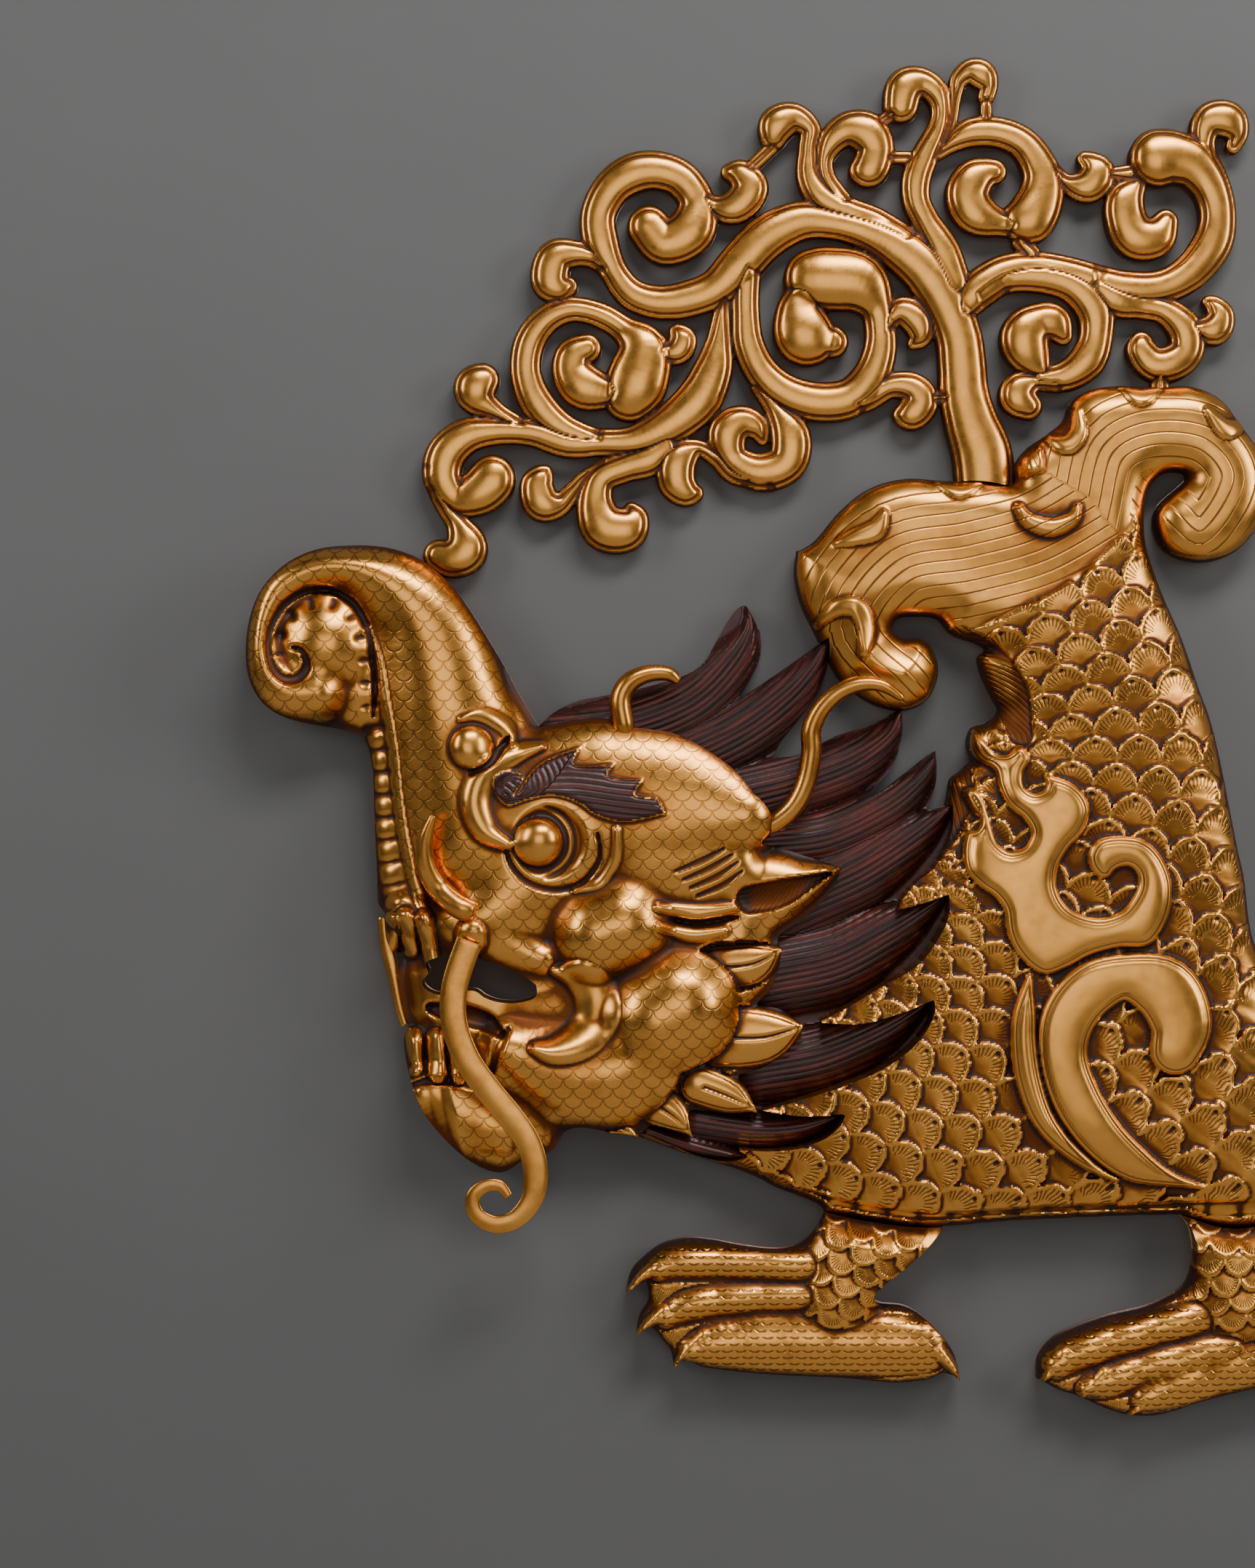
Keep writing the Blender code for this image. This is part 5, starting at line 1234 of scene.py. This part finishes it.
# %% [markdown]
# ## The crest
#
# The crest is one openwork tree of scrolls, sawn from a single sheet and hammered round. Every branch is a
# centre line with a radius at each point, so the branch tapers, swells into a bulb and ends in a curl. A
# chased line runs along each edge, which the edge measure places.

# %% Heights of the crest
CREST_RIM = 0.008
CREST_ROUNDNESS = 0.56
CREST_LINE_DEPTH = 0.0013
FORK_DEPTH = 0.0018


def crest_outline(x, y):
    scrolls = np.maximum.reduce([branch(points, x, y)[0] for points in CREST.values()])
    return np.minimum(scrolls, np.minimum(-outline(HEAD, x, y), -outline(BODY, x, y)))


def carve_crest(x, y):
    parts = [branch(points, x, y) for points in CREST.values()]
    full = np.maximum.reduce([part[1] for part in parts])
    inside = np.maximum.reduce([part[0] for part in parts])
    height = CREST_RIM + CREST_ROUNDNESS * full * UNIT
    height -= CREST_LINE_DEPTH * groove(inside, 7.5, 3.5)
    overlap = np.sort(np.stack([part[0] for part in parts]), axis=0)
    fork = np.clip(1 - np.abs(overlap[-1] - overlap[-2]) / 3.0, 0, 1) * (overlap[-2] > 0)
    height -= FORK_DEPTH * fork
    # A darker tint near the edges of the scrolls
    return {"height": height, "edge": inside, "painted_shade_and_stain": 0.35 * ramp(16 - inside, 0, 12)}


# %% [markdown]
# ## The legs
#
# Each leg is a swelling that ends in long toes and a sole, with hooked claws. Scales cover the leg, and the
# toes are punched all over with small crescents, which the punched measure marks.

# %% Heights of the legs
LEG_RIM = 0.010
LEG_RISE = 0.022
TOE_RISE = 0.018
CLAW_RISE = 0.010
CLAW_LIFT = 0.008
CLAW_RING_DEPTH = 0.0006
LEG_SCALE_ROW = 25
LEG_SCALE_WIDTH = 40
LEG_SCALE_STEP = 0.0034
LEG_ROLLED_RIM = 0.0007
KNUCKLE_RISE = 0.0012
KNUCKLE_PITCH = 62


def leg_outline(points):
    return lambda x, y: np.minimum(outline(points, x, y), -outline(BODY, x, y))


def carve_leg(drawn, legs, toes, claws):
    """The carving of one leg, which sinks a little where it meets the body."""
    def carve(x, y):
        parts = [lump(leg, LEG_RISE, x, y) for leg in legs]
        parts += [lump(toe, TOE_RISE, x, y) for toe in toes]
        sole = 0.7 * TOE_RISE * rounded(outline(drawn, x, y), 24)
        below_body = 0.35 + 0.65 * ramp(-outline(BODY, x, y), -6, 38)
        height = LEG_RIM + blend([*parts, sole], 0.005) * below_body
        before, last = legs[0][-2:]
        beyond = (2 * last[0] - before[0], 2 * last[1] - before[1], last[2])
        length, offset = flow([*legs[0], beyond], x, y)
        scale, rim, angle, _ = shingles(length, offset, LEG_SCALE_ROW, LEG_SCALE_WIDTH)
        on_leg = ramp(np.max(parts[:len(legs)], axis=0) - np.max(parts[len(legs):], axis=0), -0.001, 0.001)
        height += on_leg * below_body * (LEG_SCALE_STEP * scale + LEG_ROLLED_RIM * groove(rim, 3, 3.5))
        band = ramp(rim, 5, 8) * (1 - ramp(rim, 14, 18)) * on_leg
        for toe in toes:
            toe_in, _, toe_length, _ = branch(toe, x, y)
            knuckle = np.abs(np.sin(np.pi * toe_length / KNUCKLE_PITCH)) * ramp(toe_in, 0, 14)
            height += KNUCKLE_RISE * knuckle * (1 - on_leg)
        nail = np.zeros(x.shape)
        for claw in claws:
            inside, _, claw_length, _ = branch(claw, x, y)
            lifted = LEG_RIM + CLAW_LIFT + lump(claw, CLAW_RISE, x, y)
            over = (inside > 0) & (lifted > height)
            height = np.where(over, lifted - CLAW_RING_DEPTH * groove(claw_length % 9, 4.5, 3), height)
            nail = np.where(over, 1.0, nail)
        return {"height": height, "hatch": band, "strand": angle * SCALE_CUTS,
                "punched": (1 - on_leg) * (1 - nail), "smooth": nail}
    return carve


# %% [markdown]
# ## Making the sheets
#
# Every sheet replaces its plain solid of the frame, which stays for the physics. A cell of the grid is a
# little over a millimetre, fine enough for a crease and a scale's rim.

# %% Raise the six sheets
HEAD_CELL = 2.3
MANE_CELL = 2.4
BODY_CELL = 2.5
CREST_CELL = 2.4
LEG_CELL = 2.2
CREST_POINTS = [point for points in CREST.values() for point in points]
SHEETS = {
    "head": (head_outline, carve_head, HEAD, HEAD_CELL),
    "mane": (mane_outline, carve_mane, MANE, MANE_CELL),
    "body": (body_outline, carve_body, BODY, BODY_CELL),
    "scroll_crest": (crest_outline, carve_crest, CREST_POINTS, CREST_CELL),
    "front_leg": (leg_outline(FRONT_LEG), carve_leg(FRONT_LEG, *FRONT_LEG_PARTS), FRONT_LEG, LEG_CELL),
    "hind_leg": (leg_outline(HIND_LEG), carve_leg(HIND_LEG, *HIND_LEG_PARTS), HIND_LEG, LEG_CELL),
}


def dress(piece, node, slot, *finishes):
    """Gives a piece its finishes and lets it stand for its node."""
    piece.data.materials.clear()
    for finish in finishes:
        piece.data.materials.append(finish)
    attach(piece, "root")
    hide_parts(node)


made = {}
for node, (inside, carve, points, cell) in SHEETS.items():
    sheet = raised_sheet("hammered_" + node, inside, carve, points, cell)
    if node == "mane":
        dress(sheet, node, "dark_lacquered_copper", dark)
    else:
        dress(sheet, node, "gilt_copper", gilt)
    made[node] = sheet

# %% [markdown]
# The eyebrow is part of the head's sheet, but it is painted as dark as the mane. Its faces get the second
# finish, picked by the paint measure that the carving stored.

# %% Paint the eyebrow
head_mesh = made["head"].data
head_mesh.materials.append(dark)
paint = np.empty(len(head_mesh.vertices), np.float32)
head_mesh.attributes["paint"].data.foreach_get("value", paint)
painted = 0
for face in head_mesh.polygons:
    if min(paint[index] for index in face.vertices) > 0.5:
        face.material_index = 1
        painted += 1
print("Painted faces of the eyebrow:", painted)

# %% [markdown]
# ## Horns, tusk and whiskers
#
# The horns and the tusk are solid rods, bent and tapered, and soldered into the head. A curve with a round
# bevel and a radius at each point makes such a rod. The whiskers are strips cut from flat sheet: a flat
# outline is given its thickness and a small bevel on its edges.

# %% Rods
HORN_STANDOFF = HEAD_RIM + SKULL_RISE - 0.010
HORN_SWING = 0.014
TUSK_LIFT = 0.010
TUSK_SINK = 0.7
MANE_TOP = MANE_RIM + LOCK_RISE + LOCK_STEP * len(LOCKS) + 0.0006


def rod_depths():
    """Depth in front of the wall at each point of the horns and of the tusk."""
    near = np.linspace(HORN_STANDOFF - 0.5 * HORN_SWING, HORN_STANDOFF + 0.5 * HORN_SWING, len(HORN_NEAR))
    near = np.maximum(near, MANE_TOP + np.array(HORN_NEAR)[:, 2] * UNIT)
    far = MANE_TOP + np.array(HORN_FAR)[:, 2] * UNIT
    route = np.array(TUSK, float)
    lift = np.linspace(TUSK_LIFT, -TUSK_SINK * route[-1, 2] * UNIT, len(TUSK))
    tusk = carve_head(route[:, 0], route[:, 1])["height"] + route[:, 2] * UNIT + lift
    return {"horn_near": (HORN_NEAR, near), "horn_far": (HORN_FAR, far), "tusk": (TUSK, tusk)}


def rod(name, route, depths):
    """A round tapering rod with closed, rounded ends, as a mesh."""
    line = spline([(*point, depth) for point, depth in zip(route, depths)], 8)
    data = bpy.data.curves.new(name, "CURVE")
    data.dimensions = "3D"
    data.bevel_depth = 1.0
    data.bevel_resolution = 8
    data.use_fill_caps = True
    path = data.splines.new("POLY")
    path.points.add(len(line) - 1)
    count = len(line)
    for number, (point, (x, y, radius, depth)) in enumerate(zip(path.points, line)):
        end = min(number, count - 1 - number) / 6
        point.co = (*to_world(np.array([x]), np.array([y]), [depth])[0], 1)
        point.radius = radius * UNIT * min(1.0, 0.55 + 0.45 * math.sqrt(min(end, 1.0)))
    select_only(add_object(name, data))
    bpy.ops.object.convert(target="MESH")
    piece = bpy.context.object
    bpy.ops.object.mode_set(mode="EDIT")
    bpy.ops.mesh.select_all(action="SELECT")
    bpy.ops.mesh.remove_doubles(threshold=0.00005)
    bpy.ops.mesh.normals_make_consistent(inside=False)
    bpy.ops.object.mode_set(mode="OBJECT")
    bpy.ops.object.shade_smooth_by_angle(angle=math.radians(60))
    print(f"{name}: {len(piece.data.polygons)} faces")
    return piece


for node, (route, depths) in rod_depths().items():
    dress(rod("bent_" + node, route, depths), node, "gilt_copper", gilt)

# %% Strips
WHISKER_THICKNESS = 0.003
WHISKER_STANDOFF = HEAD_RIM + JAW_RISE + 0.010
FAR_WHISKER_THICKNESS = 0.006
STRIP_CROWN = 0.0009
STRIP_BEVEL = 0.0006
CROWN_ROOM = 0.0005


def strip(name, route, front, back):
    """A strip of changing width between two depths, a little crowned, with softened edges."""
    line = spline(route, 6)
    ahead = np.gradient(line[:, :2], axis=0)
    across = np.column_stack([-ahead[:, 1], ahead[:, 0]]) / np.linalg.norm(ahead, axis=1)[:, None]
    mesh = bpy.data.meshes.new(name)
    piece = add_object(name, mesh)
    bm = bmesh.new()
    rows = []
    for share in (-1.0, -0.6, -0.2, 0.2, 0.6, 1.0):
        place = line[:, :2] + share * across * line[:, 2:]
        depths = [front + STRIP_CROWN * (1 - share**2)] * len(line)
        rows.append([bm.verts.new(co) for co in to_world(place[:, 0], place[:, 1], depths)])
    for upper, lower in zip(rows[:-1], rows[1:]):
        for a, b, c, d in zip(upper[:-1], upper[1:], lower[1:], lower[:-1]):
            bm.faces.new((a, b, c, d))
    bmesh.ops.recalc_face_normals(bm, faces=bm.faces[:])
    slab = bmesh.ops.extrude_face_region(bm, geom=bm.faces[:], use_keep_orig=True)
    for item in slab["geom"]:
        if isinstance(item, bmesh.types.BMVert):
            item.co.y = -back
    bmesh.ops.recalc_face_normals(bm, faces=bm.faces[:])
    bm.to_mesh(mesh)
    bm.free()
    select_only(piece)
    soften = piece.modifiers.new("soften", "BEVEL")
    soften.width = STRIP_BEVEL
    soften.segments = 2
    soften.limit_method = "ANGLE"
    soften.angle_limit = math.radians(50)
    bpy.ops.object.modifier_apply(modifier=soften.name)
    bpy.ops.object.shade_smooth_by_angle(angle=math.radians(40))
    print(f"{name}: {len(mesh.polygons)} faces")
    return piece


for node, route, back, thickness in (("whisker_near", WHISKER_NEAR, WHISKER_STANDOFF, WHISKER_THICKNESS),
                                     ("whisker_far", WHISKER_FAR, 0.0, FAR_WHISKER_THICKNESS)):
    dress(strip("cut_" + node, route, back + thickness - CROWN_ROOM, back), node, "gilt_copper", gilt)

# %% [markdown]
# ## Wall, floor, light and camera
#
# The hanging is shown flat against a plain grey wall, lit by large soft lights, as in a studio. Metal shows
# what it reflects, so the lights are wide panels: one above, one on each side, a broad one in front and one
# behind. The wall is seen from its front only, so the views from behind show the piece's back. Rays that
# meet the wall after less than WALL_REACH start at that back, and pass too: so the light behind reaches it.

# %% Wall and floor
WALL_GAP = 0.004
WALL_REACH = 0.012
FLOOR_LEVEL = -0.62
MIDDLE = (-0.2, 0.0, 0.1)
WALL_DARK = (0.124, 0.122, 0.121, 1)
WALL_LIGHT = (0.136, 0.134, 0.133, 1)
FLOOR_TONE = (0.42, 0.42, 0.41, 1)


def plane(name, size, location, rotation, finish):
    bpy.ops.mesh.primitive_plane_add(size=size, location=location, rotation=rotation)
    piece = bpy.context.object
    piece.name = name
    piece.data.materials.append(finish)


def wall_finish():
    wires = Wiring("grey_wall")
    tone = wires.mix(wires.noise(6.0, 3.0), WALL_DARK, WALL_LIGHT)
    wires.link(tone, wires.shader.inputs["Base Color"])
    wires.shader.inputs["Roughness"].default_value = 0.85
    clear = wires.tree.nodes.new("ShaderNodeBsdfTransparent")
    side = wires.tree.nodes.new("ShaderNodeNewGeometry")
    path = wires.tree.nodes.new("ShaderNodeLightPath")
    close = wires.math("LESS_THAN", path.outputs["Ray Length"], WALL_REACH)
    choose = wires.tree.nodes.new("ShaderNodeMixShader")
    wires.link(wires.math("MAXIMUM", side.outputs["Backfacing"], close), choose.inputs["Fac"])
    wires.link(wires.shader.outputs["BSDF"], choose.inputs[1])
    wires.link(clear.outputs["BSDF"], choose.inputs[2])
    wires.link(choose.outputs["Shader"], wires.tree.nodes["Material Output"].inputs["Surface"])
    return wires.material


def floor_finish():
    wires = Wiring("grey_floor")
    wires.shader.inputs["Base Color"].default_value = FLOOR_TONE
    wires.shader.inputs["Roughness"].default_value = 0.7
    return wires.material


plane("wall", 6.0, (MIDDLE[0], WALL_GAP, 2.3), (math.radians(90), 0, 0), wall_finish())
plane("floor", 8.0, (MIDDLE[0], -1.0, FLOOR_LEVEL), (0, 0, 0), floor_finish())
print("Wall", WALL_GAP, "m behind the hanging, floor at", FLOOR_LEVEL, "m")


# %% Lights
def panel(name, location, size, power):
    """A soft rectangular light that faces the hanging's middle."""
    data = bpy.data.lights.new(name, "AREA")
    data.shape = "RECTANGLE"
    data.size, data.size_y = size
    data.energy = power
    light = add_object(name, data)
    light.location = location
    aim = Vector(MIDDLE) - light.location
    light.rotation_euler = aim.to_track_quat("-Z", "Y").to_euler()


panel("key_top", (0.25, -1.2, 1.65), (1.2, 0.5), 27.0)
panel("right", (1.6, -1.0, 0.7), (0.5, 1.2), 16.0)
panel("left", (-1.9, -1.1, 0.9), (0.5, 1.2), 13.0)
panel("front", (-0.1, -3.2, 0.35), (1.8, 1.6), 15.0)
panel("back", (0.6, 2.0, 1.2), (1.4, 1.4), 24.0)
world = bpy.data.worlds.new("studio")
world.use_nodes = True
world.node_tree.nodes["Background"].inputs["Color"].default_value = (0.5, 0.5, 0.52, 1)
world.node_tree.nodes["Background"].inputs["Strength"].default_value = 0.10
bpy.context.scene.world = world
print("Lights:", [light.name for light in bpy.data.lights])

# %% Camera
FRAME_SIZE = (1725, 2156)
CAMERA_AWAY = 2.2
MID_RELIEF = 0.02
SENSOR_HEIGHT = 36.0

camera_data = bpy.data.cameras.new("camera")
camera_data.sensor_fit = "VERTICAL"
camera_data.sensor_height = SENSOR_HEIGHT
camera_data.lens = SENSOR_HEIGHT * CAMERA_AWAY / (FRAME_SIZE[1] * UNIT)
camera = add_object("camera", camera_data)
middle = to_world(np.array([FRAME_SIZE[0] / 2]), np.array([FRAME_SIZE[1] / 2]), [MID_RELIEF])[0]
camera.location = (middle[0], middle[1] - CAMERA_AWAY, middle[2])
camera.rotation_euler = (math.radians(90), 0, 0)
bpy.context.scene.camera = camera
print("Camera at", [round(value, 3) for value in camera.location], "lens", round(camera_data.lens, 1))
